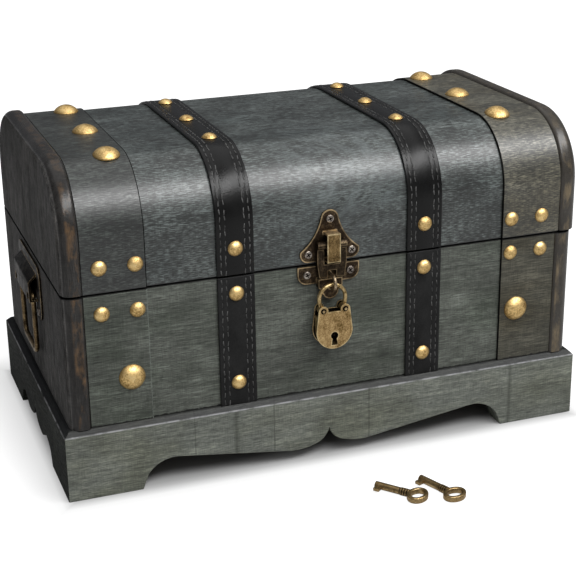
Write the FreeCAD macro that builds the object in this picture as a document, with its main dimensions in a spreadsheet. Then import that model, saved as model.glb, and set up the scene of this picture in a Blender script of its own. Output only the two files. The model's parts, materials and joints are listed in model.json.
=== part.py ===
import FreeCAD, Part
import Sketcher
import math
import os
import re

# Treasure chest with a curved lid, leather straps, brass tacks, a padlocked hasp and two loose keys.
# Millimetres. +X right, +Y to the back, +Z up. The origin is on the floor under the plinth's centre.

SIZES = {
    # Plinth
    "plinth_length": 300.0,
    "plinth_depth": 180.0,
    "plinth_height": 39.5,
    "plinth_board": 13.0,
    "plinth_bevel": 2.7,
    # Scalloped cut-outs of the plinth: foot lengths, then heights above the floor
    "front_foot_left": 40.4,
    "front_foot_right": 46.3,
    "side_foot": 44.0,
    "foot_lean": 3.0,
    "foot_step": 8.0,
    "crown_radius": 18.0,
    "front_crown_reach": 20.0,
    "front_crown_rise": 15.8,
    "side_crown_reach": 14.0,
    "side_crown_rise": 12.6,
    "front_lobe_reach": 26.0,
    "side_lobe_reach": 20.0,
    "lobe_rise": 7.4,
    "lobe_radius": 35.0,
    "notch_reach": 6.5,
    "notch_foot_rise": 9.3,
    "notch_rise": 17.2,
    "notch_radius": 12.0,
    # Box
    "plinth_ledge": 4.2,
    "plinth_lip": 4.0,
    "end_board": 11.0,
    "bead_proud": 2.5,
    "end_round_outer": 6.0,
    "end_round_inner": 2.5,
    "panel_thick": 7.0,
    "floor_thick": 5.0,
    "box_rise": 72.9,
    # Lid
    "lid_gap": 1.0,
    "lid_rise": 62.4,
    "lid_shoulder": 35.0,
    "lid_back_shoulder": 43.0,
    "lid_end_back_shoulder": 40.5,
    "lid_skin": 5.0,
    "lid_overhang": 2.0,
    # Wooden end bands and leather straps
    "band_width": 33.3,
    "band_thick": 1.2,
    "strap_inset": 47.6,
    "strap_width": 20.5,
    "strap_thick": 1.5,
    # Tacks: head, shank and places
    "small_head": 8.6,
    "small_rise": 2.6,
    "large_head": 14.4,
    "large_rise": 4.0,
    "tack_rim": 0.6,
    "tack_shank": 1.6,
    "tack_length": 5.5,
    "band_tack_inner_inset": 27.8,
    "band_tack_outer_inset": 9.0,
    "large_tack_inset": 23.0,
    "large_tack_rise_left": 25.5,
    "large_tack_rise_right": 30.9,
    "lid_band_tack_rise_left": 13.2,
    "lid_band_tack_rise_right": 10.6,
    "lid_strap_tack_rise": 14.6,
    "box_tack_drop": 9.2,
    "band_tack_drop_left": 10.5,
    "band_tack_drop_right": 8.0,
    "strap_low_tack_rise": 13.0,
    "strap_top_tack_mid": -4.0,
    "strap_top_tack_pitch": 43.5,
    "band_top_tack_mid": -7.0,
    "band_top_tack_back": 43.0,
    "band_front_tack_tilt": 9.5,
    # Fits
    "hole_fit": 0.05,
    "seat_gap": 0.3,
    # Sheet metal and screws
    "sheet": 1.2,
    "screw_head": 4.4,
    "screw_head_rise": 0.9,
    "screw_shank": 2.2,
    "screw_length": 5.4,
    # Rear hinges
    "hinge_inset": 21.5,
    "hinge_width": 26.0,
    "hinge_leaf": 14.0,
    "hinge_knuckle": 5.2,
    "hinge_pin": 2.4,
    "hinge_pin_stub": 0.6,
    "hinge_stand": 2.9,
    "hinge_screw_pitch": 16.0,
    # Hasp on the lid
    "hasp_place": -1.2,
    "hasp_lobe_spread": 12.3,
    "hasp_lobe_rise": 5.6,
    "hasp_lobe_radius": 4.6,
    "hasp_top_rise": 18.6,
    "hasp_top_radius": 5.0,
    "hasp_waist_radius": 30.0,
    "bridge_width": 7.6,
    "bridge_foot": 1.5,
    "bridge_height": 15.9,
    "arm_pivot_drop": 6.8,
    "arm_knuckle": 4.4,
    "arm_width": 16.6,
    "arm_end_width": 14.4,
    "arm_end_gap": 1.6,
    "arm_bar_gap": 1.6,
    "arm_flange": 1.6,
    "arm_slot": 4.8,
    "arm_slot_gap": 1.4,
    # Staple on the box
    "staple_place": -2.0,
    "staple_lobe_drop": 4.6,
    "staple_lobe_radius": 5.3,
    "staple_top_gap": 0.2,
    "tongue_width": 13.6,
    "tongue_drop": 6.5,
    "tongue_end_radius": 4.6,
    "tongue_rise": 4.0,
    "staple_wire": 2.0,
    "staple_drop": 5.0,
    "staple_span": 7.1,
    "staple_reach": 11.2,
    # Padlock
    "lock_place": -2.7,
    "lock_stand": 8.0,
    "lock_play": 0.5,
    "lock_ears": 12.5,
    "lock_ear_radius": 2.7,
    "lock_width": 20.7,
    "lock_drop": 22.1,
    "lock_throat": 1.0,
    "lock_throat_radius": 30.0,
    "lock_depth": 7.0,
    "lock_plate": 1.0,
    "lock_rim": 1.0,
    "lock_rim_inset": 1.1,
    "lock_rim_drop": 3.6,
    "keyhole_drop": 14.6,
    "keyhole_radius": 2.1,
    "keyhole_slot_top": 2.0,
    "keyhole_slot_foot": 3.4,
    "keyhole_slot_drop": 5.4,
    "lock_rivet": 2.0,
    "lock_rivet_head": 3.2,
    "lock_rivet_rise": 0.8,
    "shackle_wire": 2.4,
    "shackle_bulge": 1.2,
    "shackle_waist": 5.75,
    "shackle_eye": 4.4,
    "shackle_eye_thick": 2.6,
    "latch_thick": 2.0,
    "latch_pivot_place": -3.0,
    "latch_pivot_drop": 8.2,
    "latch_pivot": 1.8,
    "latch_width": 3.2,
    "latch_length": 9.0,
    "latch_gap": 0.6,
    "key_pin": 1.6,
    # End handles
    "handle_plate_width": 62.0,
    "handle_plate_drop": 2.4,
    "handle_plate_height": 31.0,
    "handle_plate_corner": 7.0,
    "handle_screw_spread": 50.0,
    "handle_screw_rise": 4.7,
    "loop_length": 44.0,
    "loop_rise": 9.6,
    "loop_height": 11.6,
    "loop_out": 5.8,
    "loop_round": 2.0,
    "loop_slope": 4.6,
    "loop_notch": 5.0,
    "bail_wire": 2.8,
    "bail_width": 35.6,
    "bail_drop": 31.4,
    "bail_round": 5.0,
    "bail_bend": 2.5,
    "bail_split": 2.0,
    "bail_play": 0.1,
    # Keys
    "key_length": 24.5,
    "key_shank": 4.0,
    "key_bore": 1.7,
    "key_bore_depth": 8.0,
    "key_ridge": 4.4,
    "key_ridge_pitch": 1.4,
    "key_ridge_width": 0.8,
    "key_neck": 4.6,
    "bow_length": 11.0,
    "bow_width": 13.5,
    "bow_ring": 2.2,
    "bow_thick": 3.4,
    "bow_end_round": 4.6,
    "bow_edge": 0.8,
    "bit_start": 20.2,
    "bit_length": 3.2,
    "bit_reach": 5.4,
    "bit_thick": 1.6,
    "first_key_x": 21.5,
    "first_key_ahead": 63.2,
    "first_key_angle": 129.3,
    "second_key_x": 40.0,
    "second_key_ahead": 69.3,
    "second_key_angle": 111.5,
}
# Places that follow from the sizes
DERIVED = {
    "box_length": "plinth_length - 2 * plinth_ledge",
    "panel_depth": "plinth_depth - 2 * plinth_lip",
    "end_depth": "panel_depth + 2 * bead_proud",
    "seam_height": "plinth_height + box_rise",
    "lid_bottom": "seam_height + lid_gap",
    "lid_top": "lid_bottom + lid_rise",
    "inner_length": "box_length - 2 * end_board",
    "strap_place": "inner_length / 2 - band_width - strap_inset",
    "hinge_place": "inner_length / 2 - band_width - hinge_inset",
    "band_tack_inner": "inner_length / 2 - band_tack_inner_inset",
    "band_tack_outer": "inner_length / 2 - band_tack_outer_inset",
    "large_tack_place": "inner_length / 2 - large_tack_inset",
    "large_tack_height_left": "plinth_height + large_tack_rise_left",
    "large_tack_height_right": "plinth_height + large_tack_rise_right",
    "strap_low_tack_height": "plinth_height + strap_low_tack_rise",
    "box_tack_height": "seam_height - box_tack_drop",
    "band_tack_height_left": "seam_height - band_tack_drop_left",
    "band_tack_height_right": "seam_height - band_tack_drop_right",
    "lid_band_tack_height_left": "lid_bottom + lid_band_tack_rise_left",
    "lid_band_tack_height_right": "lid_bottom + lid_band_tack_rise_right",
    "lid_strap_tack_height": "lid_bottom + lid_strap_tack_rise",
    "hasp_lobe_height": "lid_bottom + hasp_lobe_rise",
    "hasp_top_height": "hasp_lobe_height + hasp_top_rise",
    "bridge_bottom": "lid_bottom + bridge_foot",
    "bridge_top": "bridge_bottom + bridge_height",
    "arm_pivot_height": "bridge_top - arm_pivot_drop",
    "arm_bar_height": "bridge_bottom - arm_bar_gap",
    "staple_high": "seam_height - staple_drop",
    "staple_low": "staple_high - staple_span",
    "tongue_end": "staple_low - tongue_drop",
    "arm_slot_height": "staple_high + staple_wire / 2 + arm_slot_gap",
    "shackle_bow": "lock_ears / 2 + shackle_bulge",
    "shackle_top": "staple_low + staple_wire / 2 + lock_play + shackle_wire / 2",
    "arm_end_height": "shackle_top + shackle_wire / 2 + arm_end_gap",
    "lock_ear_height": "shackle_top - shackle_bow - shackle_waist",
    "keyhole_height": "lock_ear_height - keyhole_drop",
    "latch_pivot_height": "lock_ear_height - latch_pivot_drop",
    "latch_nose": "latch_pivot_drop - shackle_eye / 2 - latch_gap",
    "handle_plate_top": "seam_height - handle_plate_drop",
    "handle_plate_bottom": "handle_plate_top - handle_plate_height",
    "handle_screw_height": "handle_plate_bottom + handle_screw_rise",
    "loop_bottom": "handle_plate_bottom + loop_rise",
    "loop_top": "loop_bottom + loop_height",
    "bail_bottom": "loop_bottom - bail_drop",
}
KEY_RIDGES = 4
WORD = re.compile(r"[a-z_]+")

doc = FreeCAD.newDocument("treasure_chest")
sheet = doc.addObject("Spreadsheet::Sheet", "dims")
cells = [(alias, str(size)) for alias, size in SIZES.items()]
cells += [(alias, f"={rule}") for alias, rule in DERIVED.items()]
NAMES = {alias for alias, _ in cells}
for row, (alias, content) in enumerate(cells, start=1):
    sheet.set(f"A{row}", alias)
    sheet.set(f"B{row}", content)
    sheet.setAlias(f"B{row}", alias)
doc.recompute()

nodes = {}


def tied(text):
    """An expression whose size names point at the sheet."""
    return WORD.sub(lambda found: f"dims.{found[0]}" if found[0] in NAMES else found[0], text)


def value(text):
    """The present value of an expression."""
    return float(sheet.evalExpression(tied(text)))


def bind(thing, prop, text):
    """Tie one property of a document object to the sheet."""
    thing.setExpression(prop, tied(text))


def keep(name, thing):
    """Make a document object one of the chest's named pieces."""
    thing.Label = name
    nodes[name] = thing
    return thing


def new_body(name):
    """An empty body whose sketches and features follow."""
    return doc.addObject("PartDesign::Body", f"{name}_body")


def sketch_on(body, role, offset="0"):
    """A sketch on one of the body's own planes, moved along the plane's normal."""
    sketch = body.newObject("Sketcher::SketchObject", "sketch")
    plane = next(feature for feature in body.Origin.OriginFeatures if feature.Role == role)
    sketch.AttachmentSupport = [(plane, "")]
    sketch.MapMode = "FlatFace"
    bind(sketch, "AttachmentOffset.Base.z", offset)
    return sketch


def hold(sketch, kind, place, text):
    """A dimension of the sketch tied to the sheet."""
    number = sketch.addConstraint(Sketcher.Constraint(kind, *place, value(text)))
    if tied(text) != text:
        sketch.setExpression(f"Constraints[{number}]", tied(text))


def arc_between(start, end, radius, turn):
    """The smaller arc from start to end, turning left for +1 and right for -1."""
    chord = end - start
    rise = math.sqrt(max(radius ** 2 - chord.Length ** 2 / 4, 0.0))
    left = FreeCAD.Vector(-chord.y, chord.x, 0).normalize()
    centre = (start + end) / 2 + left * (rise * turn)
    circle = Part.Circle(centre, FreeCAD.Vector(0, 0, 1), radius)
    first, last = (start, end) if turn > 0 else (end, start)
    angles = [math.atan2(spot.y - centre.y, spot.x - centre.x) for spot in (first, last)]
    if angles[1] < angles[0]:
        angles[1] += 2 * math.pi
    return Part.ArcOfCircle(circle, *angles)


def outline(sketch, corners, closed=True):
    """Lines and arcs through corners: (x, y) before a line, (x, y, radius, turn) before an arc."""
    spots = [FreeCAD.Vector(value(corner[0]), value(corner[1]), 0) for corner in corners]
    count = len(corners) if closed else len(corners) - 1
    edges = []
    for number in range(count):
        corner = corners[number]
        start, end = spots[number], spots[(number + 1) % len(spots)]
        if len(corner) == 2:
            edge = sketch.addGeometry(Part.LineSegment(start, end), False)
            edges.append((edge, 1, 2))
        else:
            edge = sketch.addGeometry(arc_between(start, end, value(corner[2]), corner[3]), False)
            edges.append((edge, 1, 2) if corner[3] > 0 else (edge, 2, 1))
    for number in range(count if closed else count - 1):
        here, after = edges[number], edges[(number + 1) % count]
        sketch.addConstraint(Sketcher.Constraint("Coincident", here[0], here[2], after[0], after[1]))
    ends = [(edges[number][0], edges[number][1]) for number in range(count)]
    if not closed:
        ends.append((edges[-1][0], edges[-1][2]))
    for corner, (edge, spot) in zip(corners, ends):
        hold(sketch, "DistanceX", (-1, 1, edge, spot), corner[0])
        hold(sketch, "DistanceY", (-1, 1, edge, spot), corner[1])
    for corner, (edge, _, _) in zip(corners, edges):
        if len(corner) > 2:
            hold(sketch, "Radius", (edge,), corner[2])


def rectangle(sketch, left, bottom, right, top):
    """A rectangle from its four sides."""
    outline(sketch, [(left, bottom), (right, bottom), (right, top), (left, top)])


def circle(sketch, across, up, radius):
    """A circle from its centre and radius."""
    centre = FreeCAD.Vector(value(across), value(up), 0)
    edge = sketch.addGeometry(Part.Circle(centre, FreeCAD.Vector(0, 0, 1), value(radius)), False)
    hold(sketch, "DistanceX", (-1, 1, edge, 3), across)
    hold(sketch, "DistanceY", (-1, 1, edge, 3), up)
    hold(sketch, "Radius", (edge,), radius)


def pad(body, sketch, length, sides="One side", back=False):
    """Thicken a sketch along its normal, or against it."""
    feature = body.newObject("PartDesign::Pad", "pad")
    feature.Profile = sketch
    feature.SideType = sides
    feature.Reversed = back
    bind(feature, "Length", length)
    return feature


def pocket(body, sketch):
    """Cut a sketch right through the body, both ways."""
    feature = body.newObject("PartDesign::Pocket", "pocket")
    feature.Profile = sketch
    feature.SideType = "Symmetric"
    feature.Type = "ThroughAll"
    return feature


def dress(body, kind, size, choose):
    """Round or bevel the edges of the body that choose picks by their middle."""
    doc.recompute()
    base = body.Tip
    names = [f"Edge{number}" for number, edge in enumerate(base.Shape.Edges, start=1) if choose(edge)]
    feature = body.newObject(f"PartDesign::{kind}", kind.lower())
    feature.Base = (base, names)
    bind(feature, "Radius" if kind == "Fillet" else "Size", size)
    return feature


def near(number, text):
    """True where a coordinate has an expression's value."""
    return abs(number - value(text)) < 0.01


def middle(edge):
    """The point halfway along an edge."""
    return edge.valueAt((edge.FirstParameter + edge.LastParameter) / 2)


def block(name, left, front, bottom, right, back, top):
    """A plain board from its six sides."""
    board = doc.addObject("Part::Box", name)
    bind(board, "Length", f"({right}) - ({left})")
    bind(board, "Width", f"({back}) - ({front})")
    bind(board, "Height", f"({top}) - ({bottom})")
    bind(board, "Placement.Base.x", left)
    bind(board, "Placement.Base.y", front)
    bind(board, "Placement.Base.z", bottom)
    return board


UP = (FreeCAD.Vector(1, 0, 0), 0)
TO_FRONT = (FreeCAD.Vector(1, 0, 0), 90)
TO_BACK = (FreeCAD.Vector(1, 0, 0), -90)
TO_LEFT = (FreeCAD.Vector(0, 1, 0), -90)
TO_RIGHT = (FreeCAD.Vector(0, 1, 0), 90)


def copies(name, item, places):
    """One piece set at several places: (x, y, z, turn)."""
    links = []
    for across, along, up, turn in places:
        link = doc.addObject("App::Link", f"{name}_copy")
        link.LinkedObject = item
        link.Placement = FreeCAD.Placement(FreeCAD.Vector(), FreeCAD.Rotation(*turn))
        bind(link, "Placement.Base.x", across)
        bind(link, "Placement.Base.y", along)
        bind(link, "Placement.Base.z", up)
        links.append(link)
    group = doc.addObject("Part::Compound", name)
    group.Links = links
    return group


def drilled(name, item, *holes):
    """A piece with the holes that its fasteners need."""
    for tool in holes:
        cut = doc.addObject("Part::Cut", f"{name}_drilled")
        cut.Base = item
        cut.Tool = tool
        item = cut
    return keep(name, item)


def turned(name, corners):
    """A round piece from its half outline, turned about the upright axis."""
    body = new_body(name)
    sketch = sketch_on(body, "XZ_Plane")
    outline(sketch, corners)
    feature = body.newObject("PartDesign::Revolution", "revolution")
    feature.Profile = sketch
    feature.ReferenceAxis = (sketch, ["V_Axis"])
    return body


def piped(body, spine, profile):
    """A round bar along a path."""
    feature = body.newObject("PartDesign::AdditivePipe", "pipe")
    feature.Profile = profile
    feature.Spine = spine
    return feature


# Plinth: four mitred boards with scalloped lower edges and worn, bevelled top edges
def skirt_cut(body, role, centre, span, crown_reach, crown_rise, lobe_reach):
    """Saw the arch, two lobes and pointed notch out of a plinth board."""
    half = [
        (f"-({span})", "-foot_step"),
        (f"-({span})", "0"),
        (f"-({span}) + foot_lean", "foot_step", "crown_radius", -1),
        (f"-({span}) + {crown_reach}", crown_rise),
        (f"-{lobe_reach}", "lobe_rise", "lobe_radius", 1),
        ("-notch_reach", "notch_foot_rise", "notch_radius", 1),
        ("0", "notch_rise", "notch_radius", 1),
        ("notch_reach", "notch_foot_rise", "lobe_radius", 1),
        (lobe_reach, "lobe_rise"),
        (f"({span}) - {crown_reach}", crown_rise, "crown_radius", -1),
        (f"({span}) - foot_lean", "foot_step"),
        (span, "0"),
        (span, "-foot_step"),
    ]
    sketch = sketch_on(body, role)
    outline(sketch, [(f"{centre} + {corner[0]}", *corner[1:]) for corner in half])
    pocket(body, sketch)


def plinth_board(name, long_axis, side):
    """One mitred board: long_axis is X for the front and back, Y for the ends."""
    length, depth = ("plinth_length", "plinth_depth")[:: 1 if long_axis == "X" else -1]
    outer, inner = f"{side} * {depth} / 2", f"{side} * ({depth} / 2 - plinth_board)"
    plan = [
        (f"-{length} / 2", outer),
        (f"{length} / 2", outer),
        (f"{length} / 2 - plinth_board", inner),
        (f"-{length} / 2 + plinth_board", inner),
    ]
    body = new_body(name)
    sketch = sketch_on(body, "XY_Plane")
    outline(sketch, plan if long_axis == "X" else [(up, across) for across, up in plan])
    pad(body, sketch, "plinth_height")
    if long_axis == "X":
        skirt_cut(
            body, "XZ_Plane", "(front_foot_left - front_foot_right) / 2",
            "plinth_length / 2 - (front_foot_left + front_foot_right) / 2",
            "front_crown_reach", "front_crown_rise", "front_lobe_reach",
        )
    else:
        skirt_cut(
            body, "YZ_Plane", "0", "plinth_depth / 2 - side_foot",
            "side_crown_reach", "side_crown_rise", "side_lobe_reach",
        )

    def worn(edge):
        spot = middle(edge)
        return near(spot.z, "plinth_height") and near(spot.y if long_axis == "X" else spot.x, outer)

    dress(body, "Chamfer", "plinth_bevel", worn)
    keep(name, body)


for board, axis, side in (
    ("plinth_front", "X", "-1"), ("plinth_back", "X", "1"),
    ("plinth_left", "Y", "-1"), ("plinth_right", "Y", "1"),
):
    plinth_board(board, axis, side)

# Tacks and screws: turned pieces that are set into drilled holes
DOME = "(({0} / 2) ^ 2 + ({1}) ^ 2) / (2 * ({1}))"


def tack(name, head, rise):
    """A domed upholstery tack, its head's underside at the origin."""
    dome = DOME.format(head, f"{rise} - tack_rim")
    return turned(name, [
        ("0", "-tack_length"),
        ("tack_shank / 2", "-tack_length"),
        ("tack_shank / 2", "0"),
        (f"{head} / 2", "0"),
        (f"{head} / 2", "tack_rim", dome, 1),
        ("0", rise),
    ])


small_tack = tack("small_tack", "small_head", "small_rise")
large_tack = tack("large_tack", "large_head", "large_rise")
tack_hole = turned("tack_hole", [
    ("0", "-tack_length - hole_fit"),
    ("tack_shank / 2 + hole_fit", "-tack_length - hole_fit"),
    ("tack_shank / 2 + hole_fit", "tack_rim"),
    ("0", "tack_rim"),
])
screw = turned("screw", [
    ("0", "-screw_length"),
    ("screw_shank / 2", "-screw_length"),
    ("screw_shank / 2", "0"),
    ("screw_head / 2", "0", DOME.format("screw_head", "screw_head_rise"), 1),
    ("0", "screw_head_rise"),
])
screw_hole = turned("screw_hole", [
    ("0", "-screw_length - hole_fit"),
    ("screw_shank / 2 + hole_fit", "-screw_length - hole_fit"),
    ("screw_shank / 2 + hole_fit", "screw_head_rise"),
    ("0", "screw_head_rise"),
])

BAND_FACE = "-(panel_depth / 2 + band_thick)"
STRAP_FACE = "-(panel_depth / 2 + strap_thick)"
PLATE_FACE = "-(panel_depth / 2 + sheet)"
SIDES = ("-1", "1")
WORDS = {"-1": "left", "1": "right"}
band_tacks = [
    (f"{side} * {place}", WORDS[side]) for side in SIDES for place in ("band_tack_inner", "band_tack_outer")
]
strap_tacks = [f"{side} * strap_place" for side in SIDES]
large_tacks = [(f"{side} * large_tack_place", WORDS[side]) for side in SIDES]

box_small = [(across, BAND_FACE, f"band_tack_height_{word}", TO_FRONT) for across, word in band_tacks]
box_small += [
    (across, STRAP_FACE, height, TO_FRONT)
    for across in strap_tacks for height in ("box_tack_height", "strap_low_tack_height")
]
box_large = [(across, BAND_FACE, f"large_tack_height_{word}", TO_FRONT) for across, word in large_tacks]

SHOULDER = "lid_shoulder + band_thick"
TILTED = (FreeCAD.Vector(1, 0, 0), value("band_front_tack_tilt"))
lid_small = [(across, BAND_FACE, f"lid_band_tack_height_{word}", TO_FRONT) for across, word in band_tacks]
lid_small += [(across, STRAP_FACE, "lid_strap_tack_height", TO_FRONT) for across in strap_tacks]
lid_small += [
    (across, f"strap_top_tack_mid + {step} * strap_top_tack_pitch", "lid_top + strap_thick", UP)
    for across in strap_tacks for step in ("-1", "0", "1")
]
lid_large = [
    (across, along, "lid_top + band_thick", UP)
    for across, _ in large_tacks for along in ("band_top_tack_mid", "band_top_tack_back")
]
lid_large += [
    (
        across,
        f"-(panel_depth / 2 - lid_shoulder) - ({SHOULDER}) * sin(band_front_tack_tilt)",
        f"lid_top - lid_shoulder + ({SHOULDER}) * cos(band_front_tack_tilt)",
        TILTED,
    )
    for across, _ in large_tacks
]

# Screw places, shared by the plates and by the wood behind them
HASP_SPOTS = [
    ("hasp_place", "hasp_top_height"),
    ("hasp_place - hasp_lobe_spread", "hasp_lobe_height"),
    ("hasp_place + hasp_lobe_spread", "hasp_lobe_height"),
]
STAPLE_SPOTS = [
    (f"staple_place + {side} * hasp_lobe_spread", "seam_height - staple_top_gap - staple_lobe_drop")
    for side in SIDES
]
HINGE_AXIS_Y = "panel_depth / 2 + hinge_stand"
HINGE_AXIS_Z = "seam_height + lid_gap / 2"
LEAF_EDGE = "hinge_knuckle / 2 + seat_gap"
hinge_spots = [
    f"{side} * hinge_place + {step} * hinge_screw_pitch / 2" for side in SIDES for step in SIDES
]
LEAF_MIDDLE = "(hinge_leaf + hinge_knuckle / 2 + seat_gap) / 2"
BACK_FACE = "panel_depth / 2 + sheet"
lid_leaf_screws = [(across, BACK_FACE, f"{HINGE_AXIS_Z} + {LEAF_MIDDLE}", TO_BACK) for across in hinge_spots]
box_leaf_screws = [
    (across, BACK_FACE, f"{HINGE_AXIS_Z} - ({LEAF_MIDDLE})", TO_BACK) for across in hinge_spots
]
hasp_screws = [(across, PLATE_FACE, up, TO_FRONT) for across, up in HASP_SPOTS]
staple_screws = [(across, PLATE_FACE, up, TO_FRONT) for across, up in STAPLE_SPOTS]


def handle_screws(side):
    """The two screws of one end handle."""
    face = f"{side} * (box_length / 2 + sheet)"
    turn = TO_LEFT if side == "-1" else TO_RIGHT
    return [(face, f"{step} * handle_screw_spread / 2", "handle_screw_height", turn) for step in SIDES]


keep("box_tacks_small", copies("box_tacks_small", small_tack, box_small))
keep("box_tacks_large", copies("box_tacks_large", large_tack, box_large))
keep("lid_tacks_small", copies("lid_tacks_small", small_tack, lid_small))
keep("lid_tacks_large", copies("lid_tacks_large", large_tack, lid_large))
keep("hasp_screws", copies("hasp_screws", screw, hasp_screws))
keep("staple_screws", copies("staple_screws", screw, staple_screws))
keep("hinge_screws_lid", copies("hinge_screws_lid", screw, lid_leaf_screws))
keep("hinge_screws_box", copies("hinge_screws_box", screw, box_leaf_screws))
box_tack_holes = copies("box_tack_holes", tack_hole, box_small + box_large)
lid_tack_holes = copies("lid_tack_holes", tack_hole, lid_small + lid_large)
staple_holes = copies("staple_holes", screw_hole, staple_screws)
hinge_box_holes = copies("hinge_box_holes", screw_hole, box_leaf_screws)
lid_screw_holes = copies("lid_screw_holes", screw_hole, hasp_screws + lid_leaf_screws)

# Box: two panels between two end boards whose long edges are rounded like beads, and a floor
INNER_X = "inner_length / 2"
INNER_Y = "panel_depth / 2 - panel_thick"
front_panel = block(
    "front_panel", f"-({INNER_X})", "-panel_depth / 2", "plinth_height",
    INNER_X, f"-({INNER_Y})", "seam_height",
)
drilled("box_front", front_panel, box_tack_holes, staple_holes)
back_panel = block(
    "back_panel", f"-({INNER_X})", INNER_Y, "plinth_height", INNER_X, "panel_depth / 2", "seam_height",
)
drilled("box_back", back_panel, hinge_box_holes)
keep("box_floor", block(
    "floor_panel", f"-({INNER_X})", f"-({INNER_Y})", "plinth_height", INNER_X, INNER_Y,
    "plinth_height + floor_thick",
))


def box_end(name, side):
    """An end board of the box with bead-like upright edges."""
    body = new_body(name)
    sketch = sketch_on(body, "XY_Plane", "plinth_height")
    inner, outer = f"{side} * ({INNER_X})", f"{side} * box_length / 2"
    rectangle(sketch, inner, "-end_depth / 2", outer, "end_depth / 2")
    pad(body, sketch, "seam_height - plinth_height")

    def upright(edge, across):
        spot = middle(edge)
        return near(spot.z, "(plinth_height + seam_height) / 2") and near(spot.x, across)

    dress(body, "Fillet", "end_round_outer", lambda edge: upright(edge, outer))
    dress(body, "Fillet", "end_round_inner", lambda edge: upright(edge, inner))
    holes = copies(f"{name}_holes", screw_hole, handle_screws(side))
    drilled(name, body, holes)


box_end("box_end_left", "-1")
box_end("box_end_right", "1")


# Lid: bent skins that all follow the same shoulders, rounder at the back, between two arched end boards;
# its right end stands over
LID_BOTTOM = "lid_bottom"
LID_EDGE = {"-1": f"-({INNER_X})", "1": f"({INNER_X} + lid_overhang)"}


def arched(name, left, right, grow, thick):
    """A bent sheet over the lid: grow is its outer face's distance outside the lid's skin."""
    half, top = f"(panel_depth / 2 + {grow})", f"(lid_top + {grow})"
    bend, inner_bend = f"(lid_shoulder + {grow})", f"(lid_shoulder + {grow} - {thick})"
    back_bend, inner_back = f"(lid_back_shoulder + {grow})", f"(lid_back_shoulder + {grow} - {thick})"
    body = new_body(name)
    sketch = sketch_on(body, "YZ_Plane", left)
    outline(sketch, [
        (f"-{half}", LID_BOTTOM),
        (f"-{half}", f"{top} - {bend}", bend, -1),
        (f"-{half} + {bend}", top),
        (f"{half} - {back_bend}", top, back_bend, -1),
        (half, f"{top} - {back_bend}"),
        (half, LID_BOTTOM),
        (f"{half} - {thick}", LID_BOTTOM),
        (f"{half} - {thick}", f"{top} - {back_bend}", inner_back, 1),
        (f"{half} - {back_bend}", f"{top} - {thick}"),
        (f"-{half} + {bend}", f"{top} - {thick}", inner_bend, 1),
        (f"-{half} + {thick}", f"{top} - {bend}"),
        (f"-{half} + {thick}", LID_BOTTOM),
    ])
    pad(body, sketch, f"({right}) - ({left})")
    return body


def lid_end(name, side):
    """An arched end board of the lid, with a bead-like edge all round the arch."""
    body = new_body(name)
    grow = "(end_depth - panel_depth) / 2"
    inner, outer = LID_EDGE[side], f"({LID_EDGE[side]} + {side} * end_board)"
    sketch = sketch_on(body, "YZ_Plane", inner)
    rectangle(sketch, "-end_depth / 2", LID_BOTTOM, "end_depth / 2", f"lid_top + {grow}")
    pad(body, sketch, "end_board", back=side == "-1")

    def corner(edge, along):
        spot = middle(edge)
        return near(spot.z, f"lid_top + {grow}") and near(spot.y, along)

    dress(body, "Fillet", f"lid_shoulder + {grow}", lambda edge: corner(edge, "-end_depth / 2"))
    dress(body, "Fillet", "lid_end_back_shoulder", lambda edge: corner(edge, "end_depth / 2"))

    def rim(edge, across):
        spot = middle(edge)
        return near(spot.x, across) and spot.z > value(LID_BOTTOM) + 0.01

    dress(body, "Fillet", "end_round_outer", lambda edge: rim(edge, outer))
    dress(body, "Fillet", "end_round_inner", lambda edge: rim(edge, inner))
    keep(name, body)


lid_end("lid_end_left", "-1")
lid_end("lid_end_right", "1")
skin = arched("skin", LID_EDGE["-1"], LID_EDGE["1"], "0", "lid_skin")
drilled("lid_skin_panel", skin, lid_tack_holes, lid_screw_holes)

for word, side in (("left", "-1"), ("right", "1")):
    # Bands: thin boards beside the end boards, over the lid and down the box front
    inner_edge = f"{side} * ({INNER_X} - band_width)"
    left, right = (LID_EDGE[side], inner_edge) if side == "-1" else (inner_edge, LID_EDGE[side])
    lid_band = arched(f"lid_band_{word}", left, right, "band_thick", "band_thick")
    drilled(f"lid_band_{word}", lid_band, lid_tack_holes)
    edges = [f"{side} * ({INNER_X})", inner_edge]
    left, right = edges if side == "-1" else edges[::-1]
    box_band = block(
        f"band_{word}", left, BAND_FACE, "plinth_height", right, "-panel_depth / 2", "seam_height",
    )
    drilled(f"box_band_{word}", box_band, box_tack_holes)
    # Straps: leather strips over the lid and down the box front
    left = f"{side} * strap_place - strap_width / 2"
    right = f"{side} * strap_place + strap_width / 2"
    lid_strap = arched(f"lid_strap_{word}", left, right, "strap_thick", "strap_thick")
    drilled(f"lid_strap_{word}", lid_strap, lid_tack_holes)
    box_strap = block(
        f"strap_{word}", left, STRAP_FACE, "plinth_height", right, "-panel_depth / 2", "seam_height",
    )
    drilled(f"box_strap_{word}", box_strap, box_tack_holes)


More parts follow.
